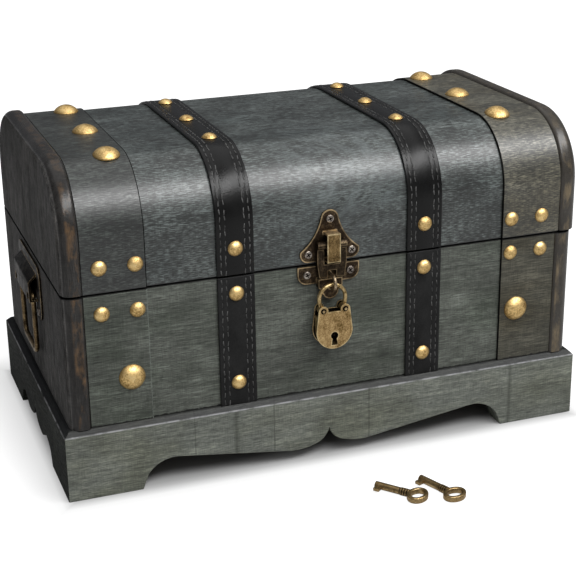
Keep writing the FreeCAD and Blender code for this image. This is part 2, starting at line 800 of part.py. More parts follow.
# Rear hinges: a box leaf with one knuckle, a lid leaf with two, and a pin
def hinge_leaf(name, centre, up, tabs):
    """One leaf: a plate, tabs that reach the axis and the rolled knuckles on them."""
    body = new_body(name)
    edge, end = f"{HINGE_AXIS_Z} + {up} * ({LEAF_EDGE})", f"{HINGE_AXIS_Z} + {up} * hinge_leaf"
    plate = sketch_on(body, "XZ_Plane", "-panel_depth / 2")
    rectangle(plate, f"{centre} - hinge_width / 2", edge, f"{centre} + hinge_width / 2", end)
    pad(body, plate, "sheet", back=True)
    for left, right in tabs:
        tab = sketch_on(body, "XZ_Plane", "-panel_depth / 2 - seat_gap")
        rectangle(tab, f"{centre} + {left}", HINGE_AXIS_Z, f"{centre} + {right}", f"({edge}) + {up} * sheet")
        pad(body, tab, "sheet - seat_gap", back=True)
        knuckle = sketch_on(body, "YZ_Plane", f"{centre} + {left}")
        circle(knuckle, HINGE_AXIS_Y, HINGE_AXIS_Z, "hinge_knuckle / 2")
        pad(body, knuckle, f"({right}) - ({left})")
    bore = sketch_on(body, "YZ_Plane")
    circle(bore, HINGE_AXIS_Y, HINGE_AXIS_Z, "hinge_pin / 2 + hole_fit")
    pocket(body, bore)
    holes = sketch_on(body, "XZ_Plane")
    for step in SIDES:
        across = f"{centre} + {step} * hinge_screw_pitch / 2"
        circle(holes, across, f"{HINGE_AXIS_Z} + {up} * ({LEAF_MIDDLE})", "screw_shank / 2 + hole_fit")
    pocket(body, holes)
    keep(name, body)


THIRD = "hinge_width / 6 - seat_gap / 2"
NEXT_THIRD = "hinge_width / 6 + seat_gap / 2"
for word, side in (("left", "-1"), ("right", "1")):
    centre = f"{side} * hinge_place"
    hinge_leaf(f"hinge_leaf_box_{word}", centre, "-1", [(f"-({THIRD})", THIRD)])
    hinge_leaf(
        f"hinge_leaf_lid_{word}", centre, "1",
        [("-hinge_width / 2", f"-({NEXT_THIRD})"), (NEXT_THIRD, "hinge_width / 2")],
    )
    pin = new_body(f"hinge_pin_{word}")
    section = sketch_on(pin, "YZ_Plane", centre)
    circle(section, HINGE_AXIS_Y, HINGE_AXIS_Z, "hinge_pin / 2")
    pad(pin, section, "hinge_width + 2 * hinge_pin_stub", "Symmetric")
    keep(f"hinge_pin_{word}", pin)

# Hasp plate on the lid: three lobes, and a bridge that holds the hasp arm's knuckle
FRONT = "panel_depth / 2"
hasp_plate = new_body("hasp_plate")
plate = sketch_on(hasp_plate, "XZ_Plane", FRONT)
LOBE_TOP = "hasp_lobe_height + hasp_lobe_radius * sin(20)"
LOBE_SIDE = "(hasp_lobe_spread + hasp_lobe_radius * cos(20))"
CROWN_SIDE = "(hasp_top_radius * cos(12))"
CROWN_FOOT = "hasp_top_height + hasp_top_radius * sin(12)"
LOBE_EDGE = "(hasp_lobe_spread + hasp_lobe_radius)"
outline(plate, [
    ("hasp_place - hasp_lobe_spread", "hasp_lobe_height - hasp_lobe_radius", "hasp_lobe_radius", -1),
    (f"hasp_place - {LOBE_SIDE}", LOBE_TOP, "hasp_waist_radius", 1),
    (f"hasp_place - {CROWN_SIDE}", CROWN_FOOT, "hasp_top_radius", -1),
    ("hasp_place", "hasp_top_height + hasp_top_radius", "hasp_top_radius", -1),
    (f"hasp_place + {CROWN_SIDE}", CROWN_FOOT, "hasp_waist_radius", 1),
    (f"hasp_place + {LOBE_SIDE}", LOBE_TOP, "hasp_lobe_radius", -1),
    ("hasp_place + hasp_lobe_spread", "hasp_lobe_height - hasp_lobe_radius"),
])
for across, up in HASP_SPOTS:
    circle(plate, across, up, "screw_shank / 2 + hole_fit")
pad(hasp_plate, plate, "sheet")
ARM_PLANE = "panel_depth / 2 + sheet + seat_gap + arm_knuckle / 2"
BRIDGE_INNER = f"-({ARM_PLANE} + arm_knuckle / 2 + seat_gap)"
bridge = sketch_on(hasp_plate, "YZ_Plane", "hasp_place")
outline(bridge, [
    (PLATE_FACE, "bridge_bottom"),
    (PLATE_FACE, "bridge_bottom + sheet"),
    (BRIDGE_INNER, "bridge_bottom + sheet"),
    (BRIDGE_INNER, "bridge_top - sheet"),
    (PLATE_FACE, "bridge_top - sheet"),
    (PLATE_FACE, "bridge_top"),
    (f"{BRIDGE_INNER} - sheet", "bridge_top"),
    (f"{BRIDGE_INNER} - sheet", "bridge_bottom"),
])
pad(hasp_plate, bridge, "bridge_width", "Symmetric")
keep("hasp_plate", hasp_plate)

# Hasp arm: a frame that straddles the bridge, with a rolled knuckle, side flanges and an open slot
hasp_arm = new_body("hasp_arm")
frame = sketch_on(hasp_arm, "XZ_Plane", f"{ARM_PLANE} - sheet / 2")
WINDOW = "(bridge_width / 2 + 2 * seat_gap)"
outline(frame, [
    ("hasp_place - arm_width / 2", "arm_pivot_height"),
    ("hasp_place - arm_width / 2", "arm_bar_height"),
    ("hasp_place - arm_end_width / 2", "arm_end_height"),
    ("hasp_place - arm_slot / 2", "arm_end_height"),
    ("hasp_place - arm_slot / 2", "arm_slot_height"),
    ("hasp_place + arm_slot / 2", "arm_slot_height"),
    ("hasp_place + arm_slot / 2", "arm_end_height"),
    ("hasp_place + arm_end_width / 2", "arm_end_height"),
    ("hasp_place + arm_width / 2", "arm_bar_height"),
    ("hasp_place + arm_width / 2", "arm_pivot_height"),
    (f"hasp_place + {WINDOW}", "arm_pivot_height"),
    (f"hasp_place + {WINDOW}", "arm_bar_height"),
    (f"hasp_place - {WINDOW}", "arm_bar_height"),
    (f"hasp_place - {WINDOW}", "arm_pivot_height"),
])
pad(hasp_arm, frame, "sheet")
for side in SIDES:
    flange = sketch_on(hasp_arm, "XZ_Plane", f"{ARM_PLANE} - sheet / 2")
    outline(flange, [
        (f"hasp_place + {side} * arm_width / 2", "arm_pivot_height"),
        (f"hasp_place + {side} * (arm_width / 2 - sheet)", "arm_pivot_height"),
        (f"hasp_place + {side} * (arm_width / 2 - sheet)", "arm_bar_height"),
        (f"hasp_place + {side} * (arm_end_width / 2 - sheet)", "arm_end_height"),
        (f"hasp_place + {side} * arm_end_width / 2", "arm_end_height"),
        (f"hasp_place + {side} * arm_width / 2", "arm_bar_height"),
    ])
    pad(hasp_arm, flange, "arm_flange", back=True)
roll = sketch_on(hasp_arm, "YZ_Plane", "hasp_place")
circle(roll, f"-({ARM_PLANE})", "arm_pivot_height", "arm_knuckle / 2")
pad(hasp_arm, roll, "arm_width", "Symmetric")
keep("hasp_arm", hasp_arm)

# Staple plate on the box: two lobes under the seam and a raised tongue, with the wire staple
staple_plate = new_body("staple_plate")
STAPLE_TOP = "seam_height - staple_top_gap"
STAPLE_LOBE = f"({STAPLE_TOP} - staple_lobe_drop)"
LOBE_OUT = "(hasp_lobe_spread + staple_lobe_radius)"
wings = sketch_on(staple_plate, "XZ_Plane", FRONT)
outline(wings, [
    (f"staple_place - {LOBE_OUT}", STAPLE_TOP),
    (f"staple_place - {LOBE_OUT}", STAPLE_LOBE, "staple_lobe_radius", 1),
    ("staple_place - hasp_lobe_spread", f"{STAPLE_LOBE} - staple_lobe_radius"),
    ("staple_place + hasp_lobe_spread", f"{STAPLE_LOBE} - staple_lobe_radius", "staple_lobe_radius", 1),
    (f"staple_place + {LOBE_OUT}", STAPLE_LOBE),
    (f"staple_place + {LOBE_OUT}", STAPLE_TOP),
])
for across, up in STAPLE_SPOTS:
    circle(wings, across, up, "screw_shank / 2 + hole_fit")
pad(staple_plate, wings, "sheet")
TONGUE_TOP = "arm_end_height - 2 * seat_gap"
tongue = sketch_on(staple_plate, "XZ_Plane", FRONT)
outline(tongue, [
    ("staple_place - tongue_width / 2", TONGUE_TOP),
    ("staple_place - tongue_width / 2", "staple_low"),
    ("staple_place - tongue_end_radius", "tongue_end + tongue_end_radius", "tongue_end_radius", 1),
    ("staple_place", "tongue_end", "tongue_end_radius", 1),
    ("staple_place + tongue_end_radius", "tongue_end + tongue_end_radius"),
    ("staple_place + tongue_width / 2", "staple_low"),
    ("staple_place + tongue_width / 2", TONGUE_TOP),
])
pad(staple_plate, tongue, "tongue_rise")
legs = sketch_on(staple_plate, "XZ_Plane")
for height in ("staple_low", "staple_high"):
    circle(legs, "staple_place", height, "staple_wire / 2 + hole_fit")
pocket(staple_plate, legs)
keep("staple_plate", staple_plate)

staple = new_body("staple")
BEND = "(staple_high - staple_low) / 2"
path = sketch_on(staple, "YZ_Plane", "staple_place")
TIP = f"-(panel_depth / 2 + staple_reach - {BEND})"
outline(path, [
    ("-panel_depth / 2", "staple_high"),
    (TIP, "staple_high", BEND, 1),
    (f"{TIP} - {BEND}", "(staple_high + staple_low) / 2", BEND, 1),
    (TIP, "staple_low"),
    ("-panel_depth / 2", "staple_low"),
], closed=False)
section = sketch_on(staple, "XZ_Plane", FRONT)
circle(section, "staple_place", "staple_high", "staple_wire / 2")
piped(staple, path, section)
keep("staple", staple)

# Padlock: a shackle in the staple, and a case of two plates round a rim
LOCK_FRONT = "panel_depth / 2 + lock_stand + lock_depth / 2"
LOCK_MID = "panel_depth / 2 + lock_stand"
LOCK_INSIDE = "(lock_depth - 2 * lock_plate)"
BELLY = "(lock_ear_height - lock_drop + lock_width / 2)"
EAR = "lock_ears / 2"
THROAT = "(lock_ears / 2 - lock_ear_radius)"
EAR_OUT = "(lock_ears / 2 + lock_ear_radius)"


def lock_plate(name, offset):
    """The outline that both plates of the case share, and their rivet holes."""
    body = new_body(name)
    sketch = sketch_on(body, "XZ_Plane", offset)
    edge = "lock_ear_height"
    outline(sketch, [
        (f"lock_place - {EAR_OUT}", edge, "lock_ear_radius", -1),
        (f"lock_place - {EAR}", f"{edge} + lock_ear_radius", "lock_ear_radius", -1),
        (f"lock_place - {THROAT}", edge),
        (f"lock_place - {THROAT}", f"{edge} - lock_throat", "lock_throat_radius", -1),
        (f"lock_place + {THROAT}", f"{edge} - lock_throat"),
        (f"lock_place + {THROAT}", edge, "lock_ear_radius", -1),
        (f"lock_place + {EAR}", f"{edge} + lock_ear_radius", "lock_ear_radius", -1),
        (f"lock_place + {EAR_OUT}", edge),
        ("lock_place + lock_width / 2", BELLY, "lock_width / 2", -1),
        ("lock_place", f"{BELLY} - lock_width / 2", "lock_width / 2", -1),
        ("lock_place - lock_width / 2", BELLY),
    ])
    for side in SIDES:
        circle(sketch, f"lock_place + {side} * {EAR}", edge, "lock_rivet / 2 + hole_fit")
    pad(body, sketch, "lock_plate")
    return body


lock_front = lock_plate("padlock_front_plate", f"{LOCK_FRONT} - lock_plate")
keyhole = sketch_on(lock_front, "XZ_Plane")
circle(keyhole, "lock_place", "keyhole_height", "keyhole_radius")
pocket(lock_front, keyhole)
key_slot = sketch_on(lock_front, "XZ_Plane")
outline(key_slot, [
    ("lock_place - keyhole_slot_top / 2", "keyhole_height"),
    ("lock_place - keyhole_slot_foot / 2", "keyhole_height - keyhole_slot_drop"),
    ("lock_place + keyhole_slot_foot / 2", "keyhole_height - keyhole_slot_drop"),
    ("lock_place + keyhole_slot_top / 2", "keyhole_height"),
])
pocket(lock_front, key_slot)
keep("padlock_front_plate", lock_front)
keep("padlock_back_plate", lock_plate("padlock_back_plate", f"{LOCK_FRONT} - lock_depth"))

lock_rim = new_body("padlock_rim")
rim = sketch_on(lock_rim, "XZ_Plane", f"{LOCK_FRONT} - lock_plate")
OUT = "(lock_width / 2 - lock_rim_inset)"
IN = f"({OUT} - lock_rim)"
RIM_TOP = "lock_ear_height - lock_rim_drop"
outline(rim, [
    (f"lock_place - {OUT}", RIM_TOP),
    (f"lock_place - {OUT}", BELLY, OUT, 1),
    ("lock_place", f"{BELLY} - {OUT}", OUT, 1),
    (f"lock_place + {OUT}", BELLY),
    (f"lock_place + {OUT}", RIM_TOP),
    (f"lock_place + {IN}", RIM_TOP),
    (f"lock_place + {IN}", BELLY, IN, -1),
    ("lock_place", f"{BELLY} - {IN}", IN, -1),
    (f"lock_place - {IN}", BELLY),
    (f"lock_place - {IN}", RIM_TOP),
])
pad(lock_rim, rim, LOCK_INSIDE, back=True)
keep("padlock_rim", lock_rim)

ear_rivet = turned("ear_rivet", [
    ("0", "-lock_depth - lock_rivet_rise / 2"),
    ("lock_rivet_head / 2", "-lock_depth - lock_rivet_rise / 2"),
    ("lock_rivet_head / 2", "-lock_depth"),
    ("lock_rivet / 2", "-lock_depth"),
    ("lock_rivet / 2", "0"),
    ("lock_rivet_head / 2", "0", DOME.format("lock_rivet_head", "lock_rivet_rise"), 1),
    ("0", "lock_rivet_rise"),
])
ears = [(f"lock_place + {side} * {EAR}", f"-({LOCK_FRONT})", "lock_ear_height", TO_FRONT) for side in SIDES]
keep("padlock_rivets", copies("padlock_rivets", ear_rivet, ears))

shackle = new_body("padlock_shackle")
BOW = "shackle_bow"
WAIST = "(lock_ear_height + shackle_waist)"
FLANK = "(shackle_bulge ^ 2 + shackle_waist ^ 2) / (2 * shackle_bulge)"
path = sketch_on(shackle, "XZ_Plane", LOCK_MID)
outline(path, [
    (f"lock_place - {EAR}", "lock_ear_height", FLANK, -1),
    (f"lock_place - {BOW}", WAIST, BOW, -1),
    ("lock_place", f"{WAIST} + {BOW}", BOW, -1),
    (f"lock_place + {BOW}", WAIST, FLANK, -1),
    (f"lock_place + {EAR}", "lock_ear_height"),
], closed=False)
section = sketch_on(shackle, "XY_Plane", "lock_ear_height")
circle(section, f"lock_place - {EAR}", f"-({LOCK_MID})", "shackle_wire / 2")
piped(shackle, path, section)
for side in SIDES:
    eye = sketch_on(shackle, "XZ_Plane", LOCK_MID)
    circle(eye, f"lock_place + {side} * {EAR}", "lock_ear_height", "shackle_eye / 2")
    pad(shackle, eye, "shackle_eye_thick", "Symmetric")
pivot = sketch_on(shackle, "XZ_Plane")
circle(pivot, f"lock_place - {EAR}", "lock_ear_height", "lock_rivet / 2 + hole_fit")
pocket(shackle, pivot)
# The free end is a fork over the right rivet, open below so that the case can swing off it
fork = sketch_on(shackle, "XZ_Plane")
JAW = "(lock_rivet / 2 + seat_gap)"
outline(fork, [
    (f"lock_place + {EAR} - {JAW}", "lock_ear_height", JAW, -1),
    (f"lock_place + {EAR}", f"lock_ear_height + {JAW}", JAW, -1),
    (f"lock_place + {EAR} + {JAW}", "lock_ear_height"),
    (f"lock_place + {EAR} + {JAW}", "lock_ear_height - shackle_eye"),
    (f"lock_place + {EAR} - {JAW}", "lock_ear_height - shackle_eye"),
])
pocket(shackle, fork)
keep("padlock_shackle", shackle)

# Inside the case: a latch lever on its pivot, and the pin that the hollow key slides over
latch = new_body("padlock_latch")
lever = sketch_on(latch, "XZ_Plane", LOCK_MID)
PIVOT_X = "(lock_place + latch_pivot_place)"
outline(lever, [
    (f"{PIVOT_X} - latch_width / 2", "latch_pivot_height - latch_width / 2"),
    (f"{PIVOT_X} + latch_length", "latch_pivot_height - latch_width / 2"),
    (f"{PIVOT_X} + latch_length", "latch_pivot_height + latch_nose"),
    (f"{PIVOT_X} + latch_length - latch_width / 2", "latch_pivot_height + latch_nose"),
    (f"{PIVOT_X} + latch_length - latch_width", "latch_pivot_height + latch_width / 2"),
    (f"{PIVOT_X} - latch_width / 2", "latch_pivot_height + latch_width / 2"),
])
circle(lever, PIVOT_X, "latch_pivot_height", "latch_pivot / 2 + hole_fit")
pad(latch, lever, "latch_thick", "Symmetric")
keep("padlock_latch", latch)


def lock_post(name, across, up, width):
    """A round post that stands between the two plates of the case."""
    body = new_body(name)
    sketch = sketch_on(body, "XZ_Plane", LOCK_MID)
    circle(sketch, across, up, f"{width} / 2")
    pad(body, sketch, LOCK_INSIDE, "Symmetric")
    keep(name, body)


lock_post("padlock_latch_pivot", PIVOT_X, "latch_pivot_height", "latch_pivot")
lock_post("padlock_key_pin", "lock_place", "keyhole_height", "key_pin")


# End handles: a plate with a folded loop, and a bail that swings in it
def handle(word, side):
    """The handle of one end board."""
    face = f"{side} * box_length / 2"
    plate = new_body(f"handle_plate_{word}")
    sketch = sketch_on(plate, "YZ_Plane", face)
    half = "handle_plate_width / 2"
    outline(sketch, [
        (f"-{half}", "handle_plate_bottom + handle_plate_corner", "handle_plate_corner", 1),
        (f"-{half} + handle_plate_corner", "handle_plate_bottom"),
        (f"{half} - handle_plate_corner", "handle_plate_bottom", "handle_plate_corner", 1),
        (half, "handle_plate_bottom + handle_plate_corner"),
        (half, "handle_plate_top - handle_plate_corner", "handle_plate_corner", 1),
        (f"{half} - handle_plate_corner", "handle_plate_top"),
        (f"-{half} + handle_plate_corner", "handle_plate_top", "handle_plate_corner", 1),
        (f"-{half}", "handle_plate_top - handle_plate_corner"),
    ])
    for step in SIDES:
        across = f"{step} * handle_screw_spread / 2"
        circle(sketch, across, "handle_screw_height", "screw_shank / 2 + hole_fit")
    pad(plate, sketch, "sheet", back=side == "-1")
    bar_x = f"({face} + {side} * loop_out / 2)"
    bar_z = "(loop_bottom + sheet + bail_wire / 2 + bail_play)"
    near_x = f"{face} + {side} * sheet"
    far_x = f"({face} + {side} * loop_out)"
    leg = "(bail_width / 2)"
    roof = "loop_top"

    def hood(foot, offset, length):
        """A stretch of the hood: a sloping roof and an outer wall that reaches down to the foot."""
        section = sketch_on(plate, "XZ_Plane", offset)
        outline(section, [
            (near_x, foot),
            (far_x, foot),
            (far_x, roof),
            (near_x, f"{roof} + loop_slope"),
        ])
        pad(plate, section, length)

    # Full stretches in the middle and at both ends, and a notch round each leg so that the bail swings out
    notch = "loop_notch / 2"
    open_foot = f"{bar_z} + bail_wire / 2 + 2 * seat_gap"
    hood("loop_bottom", f"-{leg} + {notch}", "bail_width - loop_notch")
    for step in SIDES:
        hood(open_foot, f"{step} * {leg} - {notch}", "loop_notch")
    end_length = f"loop_length / 2 - {leg} - {notch}"
    hood("loop_bottom", "-loop_length / 2", end_length)
    hood("loop_bottom", f"{leg} + {notch}", end_length)

    hollow = sketch_on(plate, "XZ_Plane")
    inner_x = f"({far_x} - {side} * sheet)"
    outline(hollow, [
        (near_x, "loop_bottom + sheet"),
        (inner_x, "loop_bottom + sheet"),
        (inner_x, f"{roof} - sheet / 2"),
        (near_x, f"{roof} + loop_slope - sheet * 1.5"),
    ])
    pocket(plate, hollow)

    def ridge(edge):
        spot = middle(edge)
        return near(spot.z, roof) and near(spot.x, far_x)

    dress(plate, "Fillet", "loop_round", ridge)
    keep(f"handle_plate_{word}", plate)

    bail = new_body(f"handle_bail_{word}")
    path = sketch_on(bail, "YZ_Plane", bar_x)
    outline(path, [
        ("-bail_split / 2", bar_z),
        (f"-{leg} + bail_bend", bar_z, "bail_bend", 1),
        (f"-{leg}", f"{bar_z} - bail_bend"),
        (f"-{leg}", "bail_bottom + bail_round", "bail_round", 1),
        (f"-{leg} + bail_round", "bail_bottom"),
        (f"{leg} - bail_round", "bail_bottom", "bail_round", 1),
        (leg, "bail_bottom + bail_round"),
        (leg, f"{bar_z} - bail_bend", "bail_bend", 1),
        (f"{leg} - bail_bend", bar_z),
        ("bail_split / 2", bar_z),
    ], closed=False)
    section = sketch_on(bail, "XZ_Plane", "bail_split / 2")
    circle(section, bar_x, bar_z, "bail_wire / 2")
    piped(bail, path, section)
    keep(f"handle_bail_{word}", bail)
    keep(f"handle_screws_{word}", copies(f"handle_screws_{word}", screw, handle_screws(side)))


handle("left", "-1")
handle("right", "1")


# Keys: an oval bow, a ribbed collar, a hollow shank and a bit, lying flat on the floor
def key(name, number):
    """One barrel key, drawn along +X from the middle of its bow, then laid in its place."""
    body = new_body(name)
    bow = sketch_on(body, "XY_Plane")
    reach = "(bow_width / 2 - bow_end_round)"
    flat = "((bow_length / 2) ^ 2 + R ^ 2 - bow_end_round ^ 2) / (2 * (bow_length / 2 - bow_end_round))"
    flat = f"({flat.replace('R', reach)})"
    for inset in ("0", "bow_ring"):
        end = f"(bow_end_round - {inset})"
        along = f"({end} * ({flat} - bow_length / 2) / ({flat} - bow_end_round))"
        across = f"({reach} + {end} * {reach} / ({flat} - bow_end_round))"
        outline(bow, [
            (along, across, end, 1),
            (f"-{along}", across, f"{flat} - {inset}", 1),
            (f"-{along}", f"-{across}", end, 1),
            (along, f"-{across}", f"{flat} - {inset}", 1),
        ])
    pad(body, bow, "bow_thick", "Symmetric")
    dress(body, "Fillet", "bow_edge", lambda edge: near(abs(middle(edge).z), "bow_thick / 2"))
    shank = sketch_on(body, "XZ_Plane")
    corners = [("key_neck", "0")]
    for ridge in range(KEY_RIDGES):
        start = f"key_neck + {ridge} * key_ridge_pitch"
        corners += [
            (start, "key_shank / 2 - bow_edge / 2"),
            (start, "key_ridge / 2"),
            (f"{start} + key_ridge_width", "key_ridge / 2"),
            (f"{start} + key_ridge_width", "key_shank / 2 - bow_edge / 2"),
        ]
    barrel = f"key_neck + {KEY_RIDGES} * key_ridge_pitch"
    corners += [
        (barrel, "key_shank / 2 - bow_edge / 2"),
        (barrel, "key_shank / 2"),
        ("key_length", "key_shank / 2"),
        ("key_length", "key_bore / 2"),
        ("key_length - key_bore_depth", "key_bore / 2"),
        ("key_length - key_bore_depth", "0"),
    ]
    outline(shank, corners[:1] + corners[2:])
    turn = body.newObject("PartDesign::Revolution", "revolution")
    turn.Profile = shank
    turn.ReferenceAxis = (shank, ["H_Axis"])
    bit = sketch_on(body, "XY_Plane")
    rectangle(bit, "bit_start", "key_shank / 2 - bow_edge", "bit_start + bit_length", "bit_reach")
    pad(body, bit, "bit_thick", "Symmetric")
    turn = FreeCAD.Rotation(FreeCAD.Vector(0, 0, 1), value(f"{number}_key_angle"))
    body.Placement = FreeCAD.Placement(FreeCAD.Vector(), turn)
    bind(body, "Placement.Base.x", f"{number}_key_x")
    bind(body, "Placement.Base.y", f"-plinth_depth / 2 - {number}_key_ahead")
    bind(body, "Placement.Base.z", "key_ridge / 2")
    keep(name, body)


key("key_first", "first")
key("key_second", "second")

# Check every piece, then write them
doc.recompute()
for thing in doc.Objects:
    if "Invalid" in thing.State or "Error" in thing.State:
        raise RuntimeError(f"{thing.Name} ({thing.Label}) failed: {thing.State}")
for name, thing in nodes.items():
    if thing.Shape.isNull() or not thing.Shape.isValid():
        raise RuntimeError(f"{name} has no valid shape")
os.makedirs("parts", exist_ok=True)
for name, thing in nodes.items():
    thing.Shape.exportStep(f"parts/{name}.step")
    print(name, len(thing.Shape.Solids), round(thing.Shape.Volume, 1))
print(len(nodes), "pieces")
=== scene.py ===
"""Studio scene of a small wooden treasure chest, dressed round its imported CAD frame."""
import json
import logging
import math
from collections import Counter
from collections.abc import Callable, Iterator
from contextlib import contextmanager
from dataclasses import dataclass
from enum import Enum
from typing import Any

import bmesh
import bpy
from mathutils import Matrix, Vector
from mathutils.kdtree import KDTree


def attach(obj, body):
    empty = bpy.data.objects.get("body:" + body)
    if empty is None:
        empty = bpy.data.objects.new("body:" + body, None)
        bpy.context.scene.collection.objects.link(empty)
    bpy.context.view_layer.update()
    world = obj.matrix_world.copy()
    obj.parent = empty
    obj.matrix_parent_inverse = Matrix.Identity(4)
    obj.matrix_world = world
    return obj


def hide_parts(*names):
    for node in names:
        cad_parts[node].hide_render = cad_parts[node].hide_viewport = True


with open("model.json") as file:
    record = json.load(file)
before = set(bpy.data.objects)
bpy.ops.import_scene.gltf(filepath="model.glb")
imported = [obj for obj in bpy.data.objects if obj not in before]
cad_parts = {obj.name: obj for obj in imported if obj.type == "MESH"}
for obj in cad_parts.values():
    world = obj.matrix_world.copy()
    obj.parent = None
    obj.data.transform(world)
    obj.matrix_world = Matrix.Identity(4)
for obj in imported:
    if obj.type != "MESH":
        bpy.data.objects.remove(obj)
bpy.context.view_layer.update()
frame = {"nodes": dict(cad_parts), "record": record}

LOG = logging.getLogger("treasure_chest")
Tree = bpy.types.NodeTree
Node = bpy.types.Node
Socket = bpy.types.NodeSocket
Piece = bpy.types.Object
Span = tuple[float, float]
Triple = tuple[float, float, float]

BODY_OF = {name: body for body, names in frame["record"]["behaviour"]["bodies"].items() for name in names}
SIDES = {"left": -1, "right": 1}

# Sizes that several sub-assemblies share, in millimetres: the bent skin, and what is laid on it
MM = 0.001
SKIN_HALF = 86.0
SKIN_TOP = 175.8
LID_FOOT = 113.4
BOX_FOOT = 39.5
BAND_THICK = 1.2
STRAP_THICK = 1.5
STRAP_PLACE = 53.9

# How near a point is to a place to count as there, in millimetres, and angles for shading in degrees
NEAR = 0.01
SMOOTH_ANGLE = 34.0
ROUND_ANGLE = 50.0
# How far the lid's foremost large tacks lean out of the level, in degrees
TACK_LEAN = 9.5


# Materials: helpers


def linear(code: str) -> tuple[float, float, float, float]:
    """Turn an sRGB hex colour into linear RGBA.

    Args:
        code: the colour, such as "#8a6f4c".
    Returns:
        The linear red, green, blue and an alpha of 1.
    """
    channels = [int(code[place:place + 2], 16) / 255 for place in (1, 3, 5)]
    return (*(c / 12.92 if c <= 0.04045 else ((c + 0.055) / 1.055) ** 2.4 for c in channels), 1.0)


def node(tree: Tree, kind: str, inputs: dict[str | int, Any] | None = None, **settings: Any) -> Node:
    """Add one node with its settings and links.

    Args:
        tree: the tree that gets the node.
        kind: the node's type, after the word ShaderNode that every type starts with.
        inputs: what its sockets get, by name or number: a value, a hex colour, another node's socket, or
            another node, of which the first output in use is linked.
        settings: its properties. Two are worked out here: stops are a colour ramp's places, each with a
            hex colour or a grey, and spans are the four ends of a map range, from and then to.
    Returns:
        The node.
    """
    made = tree.nodes.new(f"ShaderNode{kind}")
    stops, spans = settings.pop("stops", ()), settings.pop("spans", ())
    for name, setting in settings.items():
        setattr(made, name, setting)
    if stops:
        ramp = made.color_ramp.elements
        for place, _ in stops[2:]:
            ramp.new(place)
        for stop, (place, tone) in zip(ramp, stops):
            stop.position = place
            stop.color = linear(tone) if isinstance(tone, str) else (tone, tone, tone, 1.0)
    for number, end in enumerate(spans, 1):
        made.inputs[number].default_value = end
    for name, given in (inputs or {}).items():
        named = [socket for socket in made.inputs if socket.enabled and socket.name == name]
        target = named[0] if named else made.inputs[name]
        if isinstance(given, Node):
            given = next(output for output in given.outputs if output.enabled)
        if isinstance(given, Socket):
            tree.links.new(given, target)
        else:
            target.default_value = linear(given) if isinstance(given, str) else given
    return made


def blended(tree: Tree, layers: list[tuple[Node, float]]) -> Node:
    """Add up patterns round one half, each with its own weight.

    Args:
        tree: the tree that gets the nodes.
        layers: patterns from 0 to 1 and their weights.
    Returns:
        The sum, which is one half where every pattern is.
    """
    total = 0.5 - sum(weight for _, weight in layers) / 2
    for pattern, weight in layers:
        total = node(tree, "Math", {0: pattern, 1: weight, 2: total}, operation="MULTIPLY_ADD")
    return total


def height(tree: Tree) -> Socket:
    """How high each point of a surface is, in metres."""
    return node(tree, "SeparateXYZ", {0: node(tree, "TexCoord").outputs["Object"]}).outputs["Z"]


def apart(tree: Tree, pattern: Node | Socket, centre: float) -> Node:
    """How far a pattern is from one of its values, above or below it."""
    off = node(tree, "Math", {0: pattern, 1: centre}, operation="SUBTRACT")
    return node(tree, "Math", {0: off}, operation="ABSOLUTE")


class Finish:
    """A surface finish that becomes one material."""

    name: str

    def material(self) -> bpy.types.Material:
        """The finish's material, made the first time that it is asked for."""
        made = bpy.data.materials.get(self.name)
        if made is None:
            made = bpy.data.materials.new(self.name)
            made.use_nodes = True
            made.node_tree.nodes.clear()
            self.paint(made.node_tree)
        return made

    def paint(self, tree: Tree) -> None:
        """Fill the empty tree with the finish's nodes."""
        raise NotImplementedError

    def noise(self, tree: Tree, spot: Triple, detail: float = 3.0, turns: Triple = (0, 0, 0)) -> Node:
        """Add a noise pattern on Object coordinates.

        Args:
            tree: the tree that gets the nodes.
            spot: the size of the pattern's spots along X, Y and Z, in millimetres.
            detail: how many finer layers it has.
            turns: degrees that the pattern is turned by about X, Y and Z.
        Returns:
            The pattern, from 0 to 1.
        """
        placed = node(
            tree, "Mapping",
            {"Vector": node(tree, "TexCoord").outputs["Object"], "Scale": [size * MM for size in spot],
             "Rotation": [math.radians(turn) for turn in turns]},
            vector_type="TEXTURE",
        )
        return node(tree, "TexNoise", {"Vector": placed, "Scale": 1.0, "Detail": detail, "Roughness": 0.6})

    def surface(self, tree: Tree, inputs: dict[str, Any], bump: Node, depth: float) -> None:
        """Close the tree with its shader.

        Args:
            tree: the tree that gets the nodes.
            inputs: the shader's sockets.
            bump: the pattern that raises the surface.
            depth: how far it does so, in millimetres.
        """
        raised = node(tree, "Bump", {"Height": bump, "Distance": depth * MM, "Strength": 1.0})
        shader = node(tree, "BsdfPrincipled", {**inputs, "Normal": raised})
        node(tree, "OutputMaterial", {"Surface": shader})


# Materials: the chest's finishes


class Grain(Enum):
    """The way that a board's grain runs: 1 stands on the axis that lies along it."""

    LENGTHWISE = (1, 0, 0)
    DEEP = (0, 1, 0)
    UPRIGHT = (0, 0, 1)


